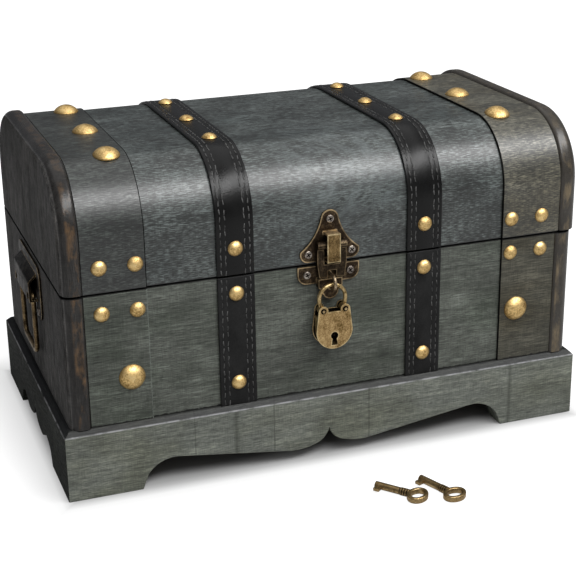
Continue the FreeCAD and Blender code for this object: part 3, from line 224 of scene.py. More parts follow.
@dataclass(frozen=True)
class StainedWood(Finish):
    """Pine boards, brushed with a water stain and a thin satin varnish.

    The stain sits in the soft grain, so the eye sees fine dark and pale fibres, cloudy patches, faint brush
    marks and short dark pores.
    """

    name: str
    dark: str
    mid: str
    light: str
    tint: str
    grain: Grain = Grain.LENGTHWISE
    roughness: float = 0.5
    gloss_spread: float = 0.07
    varnish: float = 0.3
    bump_mm: float = 0.03
    # How strongly each pattern shows
    fibre_weight: float = 1.1
    band_weight: float = 0.5
    cloud_weight: float = 0.4
    brush_weight: float = 0.3
    brush_bump: float = 0.3
    tint_share: float = 0.5
    pore_share: float = 0.0
    # Lengths along the grain and widths across it. A fibre is about 0.2 mm wide; it is drawn 0.4 mm wide so
    # that it shows in the render
    fibre_mm: Span = (6.0, 0.4)
    band_mm: Span = (56.0, 2.0)
    cloud_mm: Span = (35.2, 22.0)
    brush_mm: Span = (0.5, 6.0)
    patch_mm: Span = (48.4, 28.6)
    pore_mm: Span = (2.6, 0.55)
    # The tones of the three stains, and the stretch of its pattern over which an effect comes or goes
    tones: Triple = (0.22, 0.5, 0.8)
    gloss_span: Span = (0.3, 0.7)
    tint_span: Span = (0.42, 0.66)
    pore_span: Span = (0.34, 0.46)
    # Painted shade in the gap between the lid and the box, near black, by the distance from the joint in mm
    joint_shade: str = "#070707"
    joint_shade_share: float = 0.95
    joint_height: float = 112.9
    joint_shade_span: Span = (0.66, 1.1)

    def grained(self, tree: Tree, size: Span, detail: float) -> Node:
        """A pattern that follows the grain, from its length along the grain and its width across it."""
        return self.noise(tree, tuple(size[0] if axis else size[1] for axis in self.grain.value), detail)

    def wear_and_painted_light(self, tree: Tree, colour: Node) -> Node:
        """What use has done to the stain, and light or shade painted on it: nothing on a plain board."""
        return colour

    def joint_shaded(self, tree: Tree, colour: Node) -> Node:
        """Paint the shade of the gap between the lid and the box over the stain.

        Args:
            tree: the tree that gets the nodes.
            colour: the stain, with its wear and painted light.
        Returns:
            The colour with the painted shade of the joint.
        """
        near, far = self.joint_shade_span
        away = apart(tree, height(tree), self.joint_height * MM)
        share = node(tree, "MapRange", {"Value": away}, spans=(near * MM, far * MM, self.joint_shade_share, 0.0))
        return node(tree, "Mix", {"Factor": share, "A": colour, "B": self.joint_shade}, data_type="RGBA")

    def paint(self, tree: Tree) -> None:
        """Fibres, bands, clouds, brush marks and dark pores, then the wear and painted light, then the
        painted shade of the joint, then the shader.

        Args:
            tree: the material's empty tree.
        """
        fibre = self.grained(tree, self.fibre_mm, detail=1.5)
        band = self.grained(tree, self.band_mm, detail=2.0)
        cloud = self.grained(tree, self.cloud_mm, detail=3.0)
        brush = self.grained(tree, self.brush_mm, detail=1.5)
        patch = self.grained(tree, self.patch_mm, detail=2.0)
        pore = self.grained(tree, self.pore_mm, detail=2.0)
        tone = blended(tree, [
            (fibre, self.fibre_weight), (band, self.band_weight), (cloud, self.cloud_weight),
            (brush, self.brush_weight),
        ])
        stains = (self.dark, self.mid, self.light)
        stain = node(tree, "ValToRGB", {"Fac": tone}, stops=list(zip(self.tones, stains)))
        share = node(tree, "MapRange", {"Value": patch}, spans=(*self.tint_span, 0.0, self.tint_share))
        tinted = node(
            tree, "Mix", {"Factor": share, "A": stain, "B": self.tint}, data_type="RGBA",
            blend_type="SOFT_LIGHT",
        )
        sunk = node(tree, "MapRange", {"Value": pore}, spans=(*self.pore_span, self.pore_share, 0.0))
        pored = node(tree, "Mix", {"Factor": sunk, "A": tinted, "B": self.dark}, data_type="RGBA")
        dull, clear = self.roughness + self.gloss_spread, self.roughness - self.gloss_spread
        gloss = node(tree, "MapRange", {"Value": fibre}, spans=(*self.gloss_span, dull, clear))
        colour = self.joint_shaded(tree, self.wear_and_painted_light(tree, pored))
        grit = blended(tree, [(fibre, 1.0), (brush, self.brush_bump), (pore, self.pore_share)])
        self.surface(
            tree, {"Base Color": colour, "Roughness": gloss, "Specular IOR Level": self.varnish}, grit,
            self.bump_mm,
        )


@dataclass(frozen=True)
class LidWood(StainedWood):
    """The bent lid panel, with a rippled figure at the middle of its front shoulder, painted bright as a
    sheen where the shoulder's highlight falls.
    """

    # Painted sheen: the figure is painted bright round the place where the shoulder's highlight falls
    figure_sheen: str = "#6a7273"
    sheen_place: Triple = (12.0, -70.0, 160.0)
    sheen_span: Span = (12.0, 62.0)
    figure_sheen_share: float = 0.42
    ripple_mm: Triple = (13.0, 9.0, 2.2)
    # The ripples lie on the slope of the shoulder and slant across it
    ripple_turns: Triple = (45.0, -32.0, 0.0)
    ripple_span: Span = (0.4, 0.7)

    def wear_and_painted_light(self, tree: Tree, colour: Node) -> Node:
        """The figure's slanting ripples, painted bright as a sheen, fading out round the middle of the
        shoulder's highlight.

        Args:
            tree: the tree that gets the nodes.
            colour: the stain.
        Returns:
            The colour with the figure and its painted sheen.
        """
        core, reach = self.sheen_span
        ripple = self.noise(tree, self.ripple_mm, detail=4.0, turns=self.ripple_turns)
        place = node(tree, "TexCoord").outputs["Object"]
        middle = [part * MM for part in self.sheen_place]
        away = node(tree, "VectorMath", {0: place, 1: middle}, operation="DISTANCE")
        near = node(
            tree, "MapRange", {"Value": away}, spans=(core * MM, reach * MM, 1.0, 0.0),
            interpolation_type="SMOOTHSTEP",
        )
        spans = (*self.ripple_span, 0.0, self.figure_sheen_share)
        bright = node(tree, "MapRange", {"Value": ripple}, spans=spans)
        share = node(tree, "Math", {0: near, 1: bright}, operation="MULTIPLY")
        return node(tree, "Mix", {"Factor": share, "A": colour, "B": self.figure_sheen}, data_type="RGBA")


@dataclass(frozen=True)
class BoxWood(StainedWood):
    """Boards of the box front, with a ragged line of painted shade where they stand on the plinth."""

    # Painted shade in the crease where the boards stand on the plinth
    dirt_and_shade: str = "#0b0b0a"
    plinth_shade_share: float = 0.95
    # The painted shade fades out between these heights, measured from the foot, before the rags are added
    plinth_shade_span: Span = (-0.5, -0.1)
    ragged_mm: float = 2.2
    rag_mm: float = 2.5

    def wear_and_painted_light(self, tree: Tree, colour: Node) -> Node:
        """The painted shade at the foot, which reaches up a little further here and there.

        Args:
            tree: the tree that gets the nodes.
            colour: the stain.
        Returns:
            The colour with the painted shade.
        """
        low, high = ((BOX_FOOT + end) * MM for end in self.plinth_shade_span)
        rags = self.noise(tree, (self.rag_mm,) * 3, detail=4.0)
        reach = node(
            tree, "Math", {0: rags, 1: -self.ragged_mm * MM, 2: height(tree)}, operation="MULTIPLY_ADD",
        )
        share = node(tree, "MapRange", {"Value": reach}, spans=(low, high, self.plinth_shade_share, 0.0))
        return node(tree, "Mix", {"Factor": share, "A": colour, "B": self.dirt_and_shade}, data_type="RGBA")


@dataclass(frozen=True)
class BeadWood(StainedWood):
    """End boards: nearly black stain, rubbed through to golden-brown wood along the crest of the bead."""

    bead: str = "#1a1510"
    bead_share: float = 0.8
    bead_span: Span = (0.0, 0.3)
    crest: str = "#6b5636"
    crest_share: float = 0.75
    crest_span: Span = (0.84, 1.0)
    rub_mm: Triple = (5.0, 5.0, 13.0)
    rub_span: Span = (0.46, 0.68)
    # How much of the rubbing is left on the lid's top, where no hand reaches, and where it fades, in mm
    top_share: float = 0.3
    top_span: Span = (150.0, 172.0)

    def wear_and_painted_light(self, tree: Tree, colour: Node) -> Node:
        """A darker bead with rubbed patches on its crest, by the mesh's own attribute of its rise.

        Args:
            tree: the tree that gets the nodes.
            colour: the stain.
        Returns:
            The colour with the bead and its crest.
        """
        low, high = (end * MM for end in self.top_span)
        rise = node(tree, "Attribute", attribute_name="crest").outputs["Fac"]
        raised = node(tree, "MapRange", {"Value": rise}, spans=(*self.bead_span, 0.0, self.bead_share))
        beaded = node(tree, "Mix", {"Factor": raised, "A": colour, "B": self.bead}, data_type="RGBA")
        rubbed = node(
            tree, "MapRange", {"Value": rise}, spans=(*self.crest_span, 0.0, self.crest_share),
            interpolation_type="SMOOTHSTEP",
        )
        patch = self.noise(tree, self.rub_mm, detail=5.0)
        spots = node(tree, "MapRange", {"Value": patch}, spans=(*self.rub_span, 0.0, 1.0))
        share = node(tree, "Math", {0: rubbed, 1: spots}, operation="MULTIPLY")
        handled = node(tree, "MapRange", {"Value": height(tree)}, spans=(low, high, 1.0, self.top_share))
        share = node(tree, "Math", {0: share, 1: handled}, operation="MULTIPLY")
        return node(tree, "Mix", {"Factor": share, "A": beaded, "B": self.crest}, data_type="RGBA")


@dataclass(frozen=True)
class PlinthWood(StainedWood):
    """Plinth boards: paler stain, a dark grey bevel, partly grey stain and partly painted shade under the
    box, with a rubbed lower edge, and a few dark upright seams.
    """

    seam: str = "#33362f"
    seam_share: float = 0.55
    seam_width: float = 0.012
    # Spots as wide as the seams are apart, and so tall that they stay upright lines
    seam_mm: Triple = (34.0, 34.0, 9000.0)
    # The bevel's dark grey: a grey stain, and painted shade under the box
    bevel: str = "#1f1f21"
    bevel_shade_share: float = 0.85
    bevel_foot: float = 36.8
    bevel_span: Span = (-0.2, 0.3)
    rubbed: str = "#9c9c9e"
    rubbed_share: float = 0.9
    rubbed_reach: float = 0.6
    rub_mm: float = 9.0
    rub_span: Span = (0.34, 0.56)

    def wear_and_painted_light(self, tree: Tree, colour: Node) -> Node:
        """Seams on the face, then the bevel's grey with its painted shade, then the pale line along its
        lower edge.

        Args:
            tree: the tree that gets the nodes.
            colour: the stain.
        Returns:
            The colour with the seams, the bevel and its edge.
        """
        level = height(tree)
        low, high = ((self.bevel_foot + end) * MM for end in self.bevel_span)
        beside = apart(tree, self.noise(tree, self.seam_mm, detail=1.0), 0.5)
        hair = node(tree, "MapRange", {"Value": beside}, spans=(0.0, self.seam_width, self.seam_share, 0.0))
        seamed = node(tree, "Mix", {"Factor": hair, "A": colour, "B": self.seam}, data_type="RGBA")
        above = node(tree, "MapRange", {"Value": level}, spans=(low, high, 0.0, self.bevel_shade_share))
        greyed_and_shaded = node(tree, "Mix", {"Factor": above, "A": seamed, "B": self.bevel}, data_type="RGBA")
        away = apart(tree, level, self.bevel_foot * MM)
        edge = node(tree, "MapRange", {"Value": away}, spans=(0.0, self.rubbed_reach * MM, 1.0, 0.0))
        patch = self.noise(tree, (self.rub_mm,) * 3, detail=4.0)
        spots = node(tree, "MapRange", {"Value": patch}, spans=(*self.rub_span, 0.0, self.rubbed_share))
        share = node(tree, "Math", {0: edge, 1: spots}, operation="MULTIPLY")
        return node(tree, "Mix", {"Factor": share, "A": greyed_and_shaded, "B": self.rubbed}, data_type="RGBA")


@dataclass(frozen=True)
class FauxLeather(Finish):
    """Black coated fabric, embossed with a fine pebble and cut into straps: dark, with a satin sheen."""

    name: str
    colour: str
    pale: str
    roughness: float
    coat: float
    # The real pebble is about 0.4 mm; it is drawn 0.9 mm so that it shows in the render
    pebble_mm: float = 0.9
    pebble_weight: float = 0.5
    scuff_mm: Triple = (9.0, 9.0, 14.0)
    scuff_weight: float = 0.9
    scuff_span: Span = (0.35, 0.7)
    gloss_spread: Span = (-0.03, 0.05)
    tones: Span = (0.3, 0.85)
    bump_mm: float = 0.08

    def paint(self, tree: Tree) -> None:
        """A pebbled coat with scuffed, paler patches.

        Args:
            tree: the material's empty tree.
        """
        pebble = self.noise(tree, (self.pebble_mm,) * 3)
        scuff = self.noise(tree, self.scuff_mm, detail=4.0)
        tone = blended(tree, [(pebble, self.pebble_weight), (scuff, self.scuff_weight)])
        coat = node(tree, "ValToRGB", {"Fac": tone}, stops=list(zip(self.tones, (self.colour, self.pale))))
        ends = [self.roughness + spread for spread in self.gloss_spread]
        gloss = node(tree, "MapRange", {"Value": scuff}, spans=(*self.scuff_span, *ends))
        self.surface(
            tree, {"Base Color": coat, "Roughness": gloss, "Specular IOR Level": self.coat}, pebble,
            self.bump_mm,
        )


@dataclass(frozen=True)
class Thread(Finish):
    """Waxed polyester sewing thread: matt, with a fine twist and dirt in its hollows."""

    name: str
    colour: str
    dirt_and_shade: str
    roughness: float = 0.75
    soil_mm: float = 6.0
    tones: Span = (0.36, 0.6)
    twist_mm: Triple = (0.8, 0.5, 0.5)
    bump_mm: float = 0.1

    def paint(self, tree: Tree) -> None:
        """Dirt over the thread, and its twist as a bump.

        Args:
            tree: the material's empty tree.
        """
        soil = self.noise(tree, (self.soil_mm,) * 3, detail=4.0)
        twist = self.noise(tree, self.twist_mm, detail=1.0)
        coat = node(tree, "ValToRGB", {"Fac": soil}, stops=list(zip(self.tones, (self.dirt_and_shade, self.colour))))
        self.surface(tree, {"Base Color": coat, "Roughness": self.roughness}, twist, self.bump_mm)


@dataclass(frozen=True)
class AgedMetal(Finish):
    """Stamped or cast metal, aged by a dark dip and rubbed bright where hands touch it.

    The eye sees a warm base with cloudy dark patches and fine speckles, and a satin gloss that is dull in
    the patches.
    """

    name: str
    base: str
    bright: str
    dark: str
    roughness: float = 0.36
    gloss_span: Span = (0.25, 0.7)
    gloss_spread: Span = (0.16, -0.04)
    # How softly the dip fades out, its tones at the sharpest and the softest, and the other two tones
    dip_fade: float = 0.5
    dip_tones: Span = (0.38, 0.04)
    tones: Span = (0.52, 0.82)
    mottle: float = 1.0
    cloud_mm: float = 5.0
    speckle_mm: float = 0.9
    speckle_weight: float = 0.8
    bump_mm: float = 0.05
    # The bright rim of a stamped plate, if it has one: rubbed, and partly a painted highlight along the
    # edge
    rim: str = ""
    rim_mm: float = 1.0
    rim_core: float = 0.3
    rim_span: Span = (0.36, 0.62)
    rim_least: float = 0.25
    # Painted shade round the foot of a tack's dome, and the ring that the hammer left, in shares of the
    # dome's radius
    domed: bool = False
    dome_shade_span: Span = (0.78, 1.02)
    dome_shade_share: float = 0.75
    ring_place: Triple = (0.2, -0.16, 0.0)
    ring: tuple[Span, ...] = ((0.0, 0.35), (0.11, 0.55), (0.18, 0.0), (0.25, 1.0))
    ring_share: float = 0.5
    grit_weight: float = 0.35

    def paint(self, tree: Tree) -> None:
        """Clouds and speckles of the dip, then a plate's bright rim, partly a painted highlight, or the
        painted shade and the ring on a tack's dome.

        Args:
            tree: the material's empty tree.
        """
        cloud = self.noise(tree, (self.cloud_mm,) * 3)
        speckle = self.noise(tree, (self.speckle_mm,) * 3, detail=2.0)
        tone = blended(tree, [(cloud, self.mottle), (speckle, self.speckle_weight * self.mottle)])
        sharp, soft = self.dip_tones
        dip = (sharp + (soft - sharp) * self.dip_fade, self.dark)
        stops = [dip, *zip(self.tones, (self.base, self.bright))]
        colour, bump = node(tree, "ValToRGB", {"Fac": tone}, stops=stops), speckle
        if self.domed:
            colour, bump = self.dented(tree, colour, speckle)
        if self.rim:
            colour = self.rimmed(tree, colour, cloud)
        ends = [self.roughness + spread for spread in self.gloss_spread]
        gloss = node(tree, "MapRange", {"Value": tone}, spans=(*self.gloss_span, *ends))
        self.surface(tree, {"Base Color": colour, "Roughness": gloss, "Metallic": 1.0}, bump, self.bump_mm)

    def rimmed(self, tree: Tree, colour: Node, cloud: Node) -> Node:
        """The bright rim along a plate's outline, rubbed and partly a painted highlight, which the mesh's
        own attribute measures in millimetres.

        Args:
            tree: the tree that gets the nodes.
            colour: the metal's colour so far.
            cloud: the pattern that the rubbing follows.
        Returns:
            The colour with the rim.
        """
        away = node(tree, "Attribute", attribute_name="rim").outputs["Fac"]
        near = node(
            tree, "MapRange", {"Value": away}, spans=(self.rim_core * self.rim_mm, self.rim_mm, 1.0, 0.0),
            interpolation_type="SMOOTHSTEP",
        )
        spots = node(tree, "MapRange", {"Value": cloud}, spans=(*self.rim_span, self.rim_least, 1.0))
        share = node(tree, "Math", {0: near, 1: spots}, operation="MULTIPLY")
        return node(tree, "Mix", {"Factor": share, "A": colour, "B": self.rim}, data_type="RGBA")

    def dented(self, tree: Tree, colour: Node, grit: Node) -> tuple[Node, Node]:
        """Painted shade round the foot of a dome, and the hammer's ring.

        Args:
            tree: the tree that gets the nodes.
            colour: the metal's colour so far.
            grit: its bump so far.
        Returns:
            The colour and the bump with the painted shade at the foot and the ring.
        """
        local = node(tree, "Attribute", attribute_name="dome").outputs["Vector"]
        flat = node(tree, "VectorMath", {0: local, 1: (1.0, 1.0, 0.0)}, operation="MULTIPLY")
        reach = node(tree, "VectorMath", {0: flat}, operation="LENGTH")
        foot = node(tree, "MapRange", {"Value": reach}, spans=(*self.dome_shade_span, 0.0, self.dome_shade_share))
        dome_shaded = node(tree, "Mix", {"Factor": foot, "A": colour, "B": self.dark}, data_type="RGBA")
        away = node(tree, "VectorMath", {0: flat, 1: self.ring_place}, operation="DISTANCE")
        ring = node(tree, "ValToRGB", {"Fac": away}, stops=self.ring)
        shade = node(tree, "MapRange", {"Value": ring}, spans=(0.0, 1.0, self.ring_share, 0.0))
        marked = node(tree, "Mix", {"Factor": shade, "A": dome_shaded, "B": self.dark}, data_type="RGBA")
        return marked, blended(tree, [(ring, 1.0), (grit, self.grit_weight)])


@dataclass(frozen=True)
class StudioPaper(Finish):
    """Matt white paper that keeps the chest's shadow, with its own light lifted for the camera."""

    name: str
    colour: str
    # Half the width and depth of the chest's foot in metres, and how bright the paper itself is by the
    # distance from that foot
    chest_half: Span = (0.15, 0.094)
    lifts: tuple[Span, ...] = (
        (-0.02, 0.0), (-0.006, 0.05), (0.004, 0.58), (0.025, 0.82), (0.06, 0.92), (0.25, 0.96), (1.0, 1.0),
    )
    # How much of that glow reflections see; with all of it the satin fronts look milky
    mirror_share: float = 0.25

    def paint(self, tree: Tree) -> None:
        """A matt sheet plus a glow that fades out under the chest.

        Args:
            tree: the material's empty tree.
        """
        path = node(tree, "LightPath").outputs
        seen = node(
            tree, "Math", {0: path["Is Glossy Ray"], 1: self.mirror_share, 2: path["Is Camera Ray"]},
            operation="MULTIPLY_ADD",
        )
        through = path["Is Transmission Ray"]
        seen = node(tree, "Math", {0: seen, 1: through}, operation="ADD", use_clamp=True)
        place = node(tree, "TexCoord").outputs["Object"]
        across = node(tree, "VectorMath", {0: place}, operation="ABSOLUTE")
        outside = node(tree, "VectorMath", {0: across, 1: (*self.chest_half, 0.0)}, operation="SUBTRACT")
        ways = node(tree, "SeparateXYZ", {0: outside}).outputs
        away = node(tree, "Math", {0: ways["X"], 1: ways["Y"]}, operation="MAXIMUM")
        near, far = self.lifts[0][0], self.lifts[-1][0]
        along = node(tree, "MapRange", {"Value": away}, spans=(near, far, 0.0, 1.0))
        stops = [((spot - near) / (far - near), lift) for spot, lift in self.lifts]
        reach = node(tree, "ValToRGB", {"Fac": along}, stops=stops)
        lift = node(tree, "Math", {0: seen, 1: reach}, operation="MULTIPLY")
        sheet = node(tree, "BsdfDiffuse", {"Color": self.colour})
        glow = node(tree, "Emission", {"Strength": lift})
        node(tree, "OutputMaterial", {"Surface": node(tree, "AddShader", {0: sheet, 1: glow})})


# Stains, and how smooth and how open-pored the boards are
SLATE = {"dark": "#101211", "mid": "#2e3230", "light": "#636a68", "tint": "#6a7677"}
DEEP_SLATE = {"dark": "#0c0d0c", "mid": "#232624", "light": "#4d524e", "tint": "#5a6460"}
OLIVE = {"dark": "#23221c", "mid": "#43423a", "light": "#737062", "tint": "#86784f"}
MOSS = {"dark": "#272926", "mid": "#50534d", "light": "#7f847c", "tint": "#717e70"}
SOOT = {"dark": "#252423", "mid": "#4e4d4c", "light": "#7a7774", "tint": "#4c463c", "grain": Grain.UPRIGHT}
SATIN = {
    "roughness": 0.4, "varnish": 0.75, "gloss_spread": 0.08, "fibre_weight": 1.9, "cloud_weight": 0.75,
    "fibre_mm": (3.4, 0.4), "pore_share": 0.85,
}
BRUSHED = {
    "fibre_weight": 0.75, "band_weight": 0.4, "brush_weight": 0.2, "fibre_mm": (9.0, 0.4),
    "pore_share": 0.55,
}

LID_PANEL = LidWood("stained_pine_lid", **SLATE, **SATIN)
BOX_PANEL = BoxWood("stained_pine_box", **MOSS, **BRUSHED)
LID_BAND_LEFT = StainedWood("stained_pine_lid_band_left", **DEEP_SLATE, **SATIN)
LID_BAND_RIGHT = StainedWood("stained_pine_lid_band_right", **OLIVE, **SATIN)
BOX_BAND_LEFT = BoxWood("stained_pine_box_band_left", **MOSS, **BRUSHED)
BOX_BAND_RIGHT = BoxWood("stained_pine_box_band_right", **OLIVE, **BRUSHED)
# Lines painted on the bands' inner edges: a painted highlight on the left box band, painted shade on the
# other three
HIGHLIGHT_EDGE = StainedWood("painted_highlight_pine_edge", "#3a3d3a", "#626762", "#868b84", "#8a8c82")
SHADE_EDGE = StainedWood(
    "painted_shade_pine_edge", "#060606", "#0e0e0d", "#1c1b18", "#1b1b19", varnish=0.05,
)
END_BOARD = StainedWood("dark_stained_pine_end", **SOOT, roughness=0.62, varnish=0.04)
BEAD_LEFT = BeadWood(
    "dark_stained_pine_bead", **SOOT, roughness=0.27, varnish=0.32, bead="#0b0806", crest="#75593a",
    crest_share=0.7,
)
BEAD_RIGHT = BeadWood(
    "brown_stained_pine_bead", **SOOT, roughness=0.3, varnish=0.45, bead="#2a251d", crest="#7a6b52",
    crest_share=0.75,
)
PLINTH = PlinthWood(
    "stained_pine_plinth", "#40433e", "#676a64", "#92968a", "#8f8c6e", roughness=0.56, varnish=0.25,
    tint_share=0.4, fibre_weight=0.85, pore_share=0.4,
)
# The plinth's end boards: a darker stain, with painted shade on top of it, as the left end stands in
# shadow; the right end takes the same finish
PLINTH_END = PlinthWood(
    "dark_stained_and_shaded_pine_plinth_end", "#131412", "#2c2e2b", "#4e514b", "#474b3e", grain=Grain.DEEP,
    roughness=0.62, varnish=0.04,
)
# The inside, sawn and left bare: dull, pale and warm, with the same fibres
BARE_PINE = StainedWood(
    "bare_sawn_pine", "#6f5a3c", "#a58a62", "#c9b088", "#b08c58", roughness=0.68, varnish=0.12,
)

LID_LEATHER = FauxLeather("black_faux_leather_lid", "#030303", "#0b0b0b", 0.29, 0.27)
BOX_LEATHER = FauxLeather("black_faux_leather_box", "#101010", "#262626", 0.5, 0.16)
LID_THREAD = Thread("waxed_dark_thread", "#4c4c4b", "#1e1e1e")
BOX_THREAD = Thread("waxed_grey_thread", "#484847", "#161616")

TACK_BRASS = AgedMetal(
    "stamped_brass_tack", "#eac98a", "#f8e2ae", "#8e6e3c", roughness=0.44, dip_fade=0.1, mottle=0.5,
    domed=True, bump_mm=0.04,
)
# The rims of the plates below are rubbed metal with a painted highlight along the edge
HASP_BRONZE = AgedMetal(
    "antique_bronze_hasp", "#3b3127", "#685843", "#17110c", roughness=0.42, dip_fade=0.7, rim="#c2aa84",
    rim_mm=0.75,
)
ARM_BRONZE = AgedMetal(
    "blackened_bronze_arm", "#342c23", "#574a39", "#130f0b", roughness=0.42, dip_fade=0.8, rim="#86745a",
    rim_mm=0.6,
)
HINGE_BRONZE = AgedMetal(
    "antique_bronze_hinge", "#54473a", "#7a6853", "#261e17", roughness=0.42, dip_fade=0.7,
)
BRIDGE_BRONZE = AgedMetal(
    "rubbed_bronze_bridge", "#836c48", "#ac9064", "#453520", roughness=0.38, rim="#ead6a8", rim_mm=0.7,
)
# Eased edges rubbed bright, partly a painted highlight; on the padlock's rivets it is the painted highlight
# in the middle of each dome
BRIGHT_BRONZE = AgedMetal("rubbed_bronze_edge_and_highlight", "#b39b72", "#d8c298", "#6b573a", dip_fade=0.3)
STAPLE_BRONZE = AgedMetal(
    "rubbed_bronze_wire", "#b7a488", "#dccfb8", "#5a4c3a", roughness=0.34, dip_fade=0.3,
)
LOCK_BRONZE = AgedMetal(
    "antique_bronze_padlock", "#ab8e62", "#d9bd88", "#66512b", roughness=0.38, dip_fade=0.4,
    speckle_mm=0.6, rim="#dcc696", rim_mm=0.65,
)
SHACKLE_BRONZE = AgedMetal(
    "antique_bronze_shackle", "#bea576", "#e8d4a6", "#6b5731", dip_fade=0.4, speckle_mm=0.6,
)
# Near black for recesses: painted shade inside the padlock's keyhole and round its rivets' domes, and the
# dark in the screws' crosses and the keys' grooves
DARK_RECESS = AgedMetal(
    "painted_shade_recess_bronze", "#120f0c", "#241f19", "#080706", roughness=0.6, dip_fade=0.6,
)
HANDLE_BRONZE = AgedMetal(
    "blackened_bronze_handle", "#211d19", "#42392c", "#0b0908", roughness=0.46, dip_fade=0.8,
)
BAIL_BRONZE = AgedMetal("rubbed_bronze_bail", "#6e5d44", "#a08a64", "#2a2116", roughness=0.38)
SCREW_STEEL = AgedMetal("blackened_steel_screw", "#8a8179", "#d2cabe", "#35302b", roughness=0.34)
KEY_BRONZE = AgedMetal(
    "antique_bronze_key", "#a48b62", "#dcc598", "#46361f", roughness=0.32, dip_fade=0.35, mottle=0.5,
)
PAPER = StudioPaper("white_studio_paper", "#a0a0a0")


# Modelling: helpers


def only(piece: Piece) -> None:
    """Select one object alone and make it active.

    Args:
        piece: the object.
    """
    bpy.ops.object.select_all(action="DESELECT")
    piece.select_set(True)
    bpy.context.view_layer.objects.active = piece


@contextmanager
def editing(piece: Piece) -> Iterator[None]:
    """Edit mode on one object alone, with all of its mesh selected, and object mode after it.

    Args:
        piece: the object.
    """
    only(piece)
    bpy.ops.object.mode_set(mode="EDIT")
    bpy.ops.mesh.select_all(action="SELECT")
    yield
    bpy.ops.object.mode_set(mode="OBJECT")


def pick(test: Callable[[bmesh.types.BMVert], bool]) -> None:
    """In edit mode, select points by a test, and the edges and faces between them.

    Args:
        test: whether a point is selected.
    """
    mesh = bpy.context.object.data
    form = bmesh.from_edit_mesh(mesh)
    for part in (form.faces, form.edges, form.verts):
        for element in part:
            element.select_set(False)
    for point in form.verts:
        point.select_set(bool(test(point)))
    form.select_flush_mode()
    bmesh.update_edit_mesh(mesh)


def cut(place: Triple, way: Triple, **settings: Any) -> None:
    """In edit mode, cut the whole mesh by a plane through a place, which a normal gives the way of."""
    bpy.ops.mesh.select_all(action="SELECT")
    bpy.ops.mesh.bisect(plane_co=place, plane_no=way, **settings)


def applied(piece: Piece, kind: str, **settings: Any) -> None:
    """Add a modifier to an object and apply it.

    Args:
        piece: the object.
        kind: the modifier's type.
        settings: its properties.
    """
    only(piece)
    modifier = piece.modifiers.new(kind.lower(), kind)
    for name, setting in settings.items():
        setattr(modifier, name, setting)
    bpy.ops.object.modifier_apply(modifier=modifier.name)


def smooth(piece: Piece, angle: float) -> None:
    """Shade a piece smooth, apart from edges sharper than an angle in degrees."""
    only(piece)
    bpy.ops.object.shade_smooth_by_angle(angle=math.radians(angle))


def added(kind: str, stretch: Triple = (1, 1, 1), **settings: Any) -> Piece:
    """Add a primitive at its size and place, with nothing else selected.

    Args:
        kind: the primitive, such as cube.
        stretch: how much it is scaled along its own axes.
        settings: what its operator takes.
    Returns:
        The primitive, with its place in its mesh.
    """
    bpy.ops.object.select_all(action="DESELECT")
    getattr(bpy.ops.mesh, f"primitive_{kind}_add")(**settings)
    piece = bpy.context.object
    piece.scale = stretch
    bpy.ops.object.transform_apply(location=True, rotation=True, scale=True)
    return piece


def copied(master: Piece, name: str, places: list[Matrix]) -> Piece:
    """Copy a modelled shape to several places and join the copies into one piece.

    Args:
        master: the shape at the origin, which is removed afterwards.
        name: the new piece's name.
        places: one matrix for each copy.
    Returns:
        The joined piece.
    """
    copies = []
    for place in places:
        copy = master.copy()
        copy.data = master.data.copy()
        copy.data.transform(place)
        bpy.context.scene.collection.objects.link(copy)
        copies.append(copy)
    bpy.data.objects.remove(master)
    only(copies[0])
    for copy in copies:
        copy.select_set(True)
    bpy.ops.object.join()
    piece = bpy.context.object
    piece.name = name
    return piece


def coated(piece: Piece, finishes: list[Finish]) -> None:
    """Give a piece its finishes as material slots, with the first one all over it.

    Args:
        piece: the piece.
        finishes: its finishes, in the order of the slots.
    """
    piece.data.materials.clear()
    for finish in finishes:
        piece.data.materials.append(finish.material())
    piece.data.polygons.foreach_set("material_index", [0] * len(piece.data.polygons))


def carried(piece: Piece, name: str) -> None:
    """Let a piece move with a CAD node's body."""
    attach(piece, BODY_OF[name])


def dressed(piece: Piece, name: str) -> Piece:
    """Let a finished piece stand for a CAD node.

    Args:
        piece: the piece, in place and with its finishes.
        name: the CAD node.
    Returns:
        The same piece.
    """
    carried(piece, name)
    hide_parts(name)
    LOG.info("%s: %d faces for %s", piece.name, len(piece.data.polygons), name)
    return piece


def eased(name: str, finishes: list[Finish], bevel_mm: float, edge_slot: int = -1) -> Piece:
    """Copy a hard CAD node and ease its sharp edges, which then catch the light.

    Args:
        name: the CAD node.
        finishes: the copy's finishes.
        bevel_mm: how wide the eased edges are; a round wire has 0 and keeps its own shape.
        edge_slot: the number of the finish for the eased edges, or -1 for the finish beside them.
    Returns:
        The eased copy, which still has to be dressed.
    """
    same_mm, flat_angle, sharp_angle = 0.002, 0.5, 32.0
    piece = bpy.data.objects.new(f"{name}_eased", frame["nodes"][name].data.copy())
    bpy.context.scene.collection.objects.link(piece)
    with editing(piece):
        bpy.ops.mesh.customdata_custom_splitnormals_clear()
        bpy.ops.mesh.remove_doubles(threshold=same_mm * MM)
        if bevel_mm:
            bpy.ops.mesh.dissolve_limited(angle_limit=math.radians(flat_angle))
    coated(piece, finishes)
    if bevel_mm:
        applied(
            piece, "BEVEL", width=bevel_mm * MM, segments=2, limit_method="ANGLE",
            angle_limit=math.radians(sharp_angle), use_clamp_overlap=True, material=edge_slot,
        )
    smooth(piece, SMOOTH_ANGLE)
    return piece


# The chest's sub-assemblies


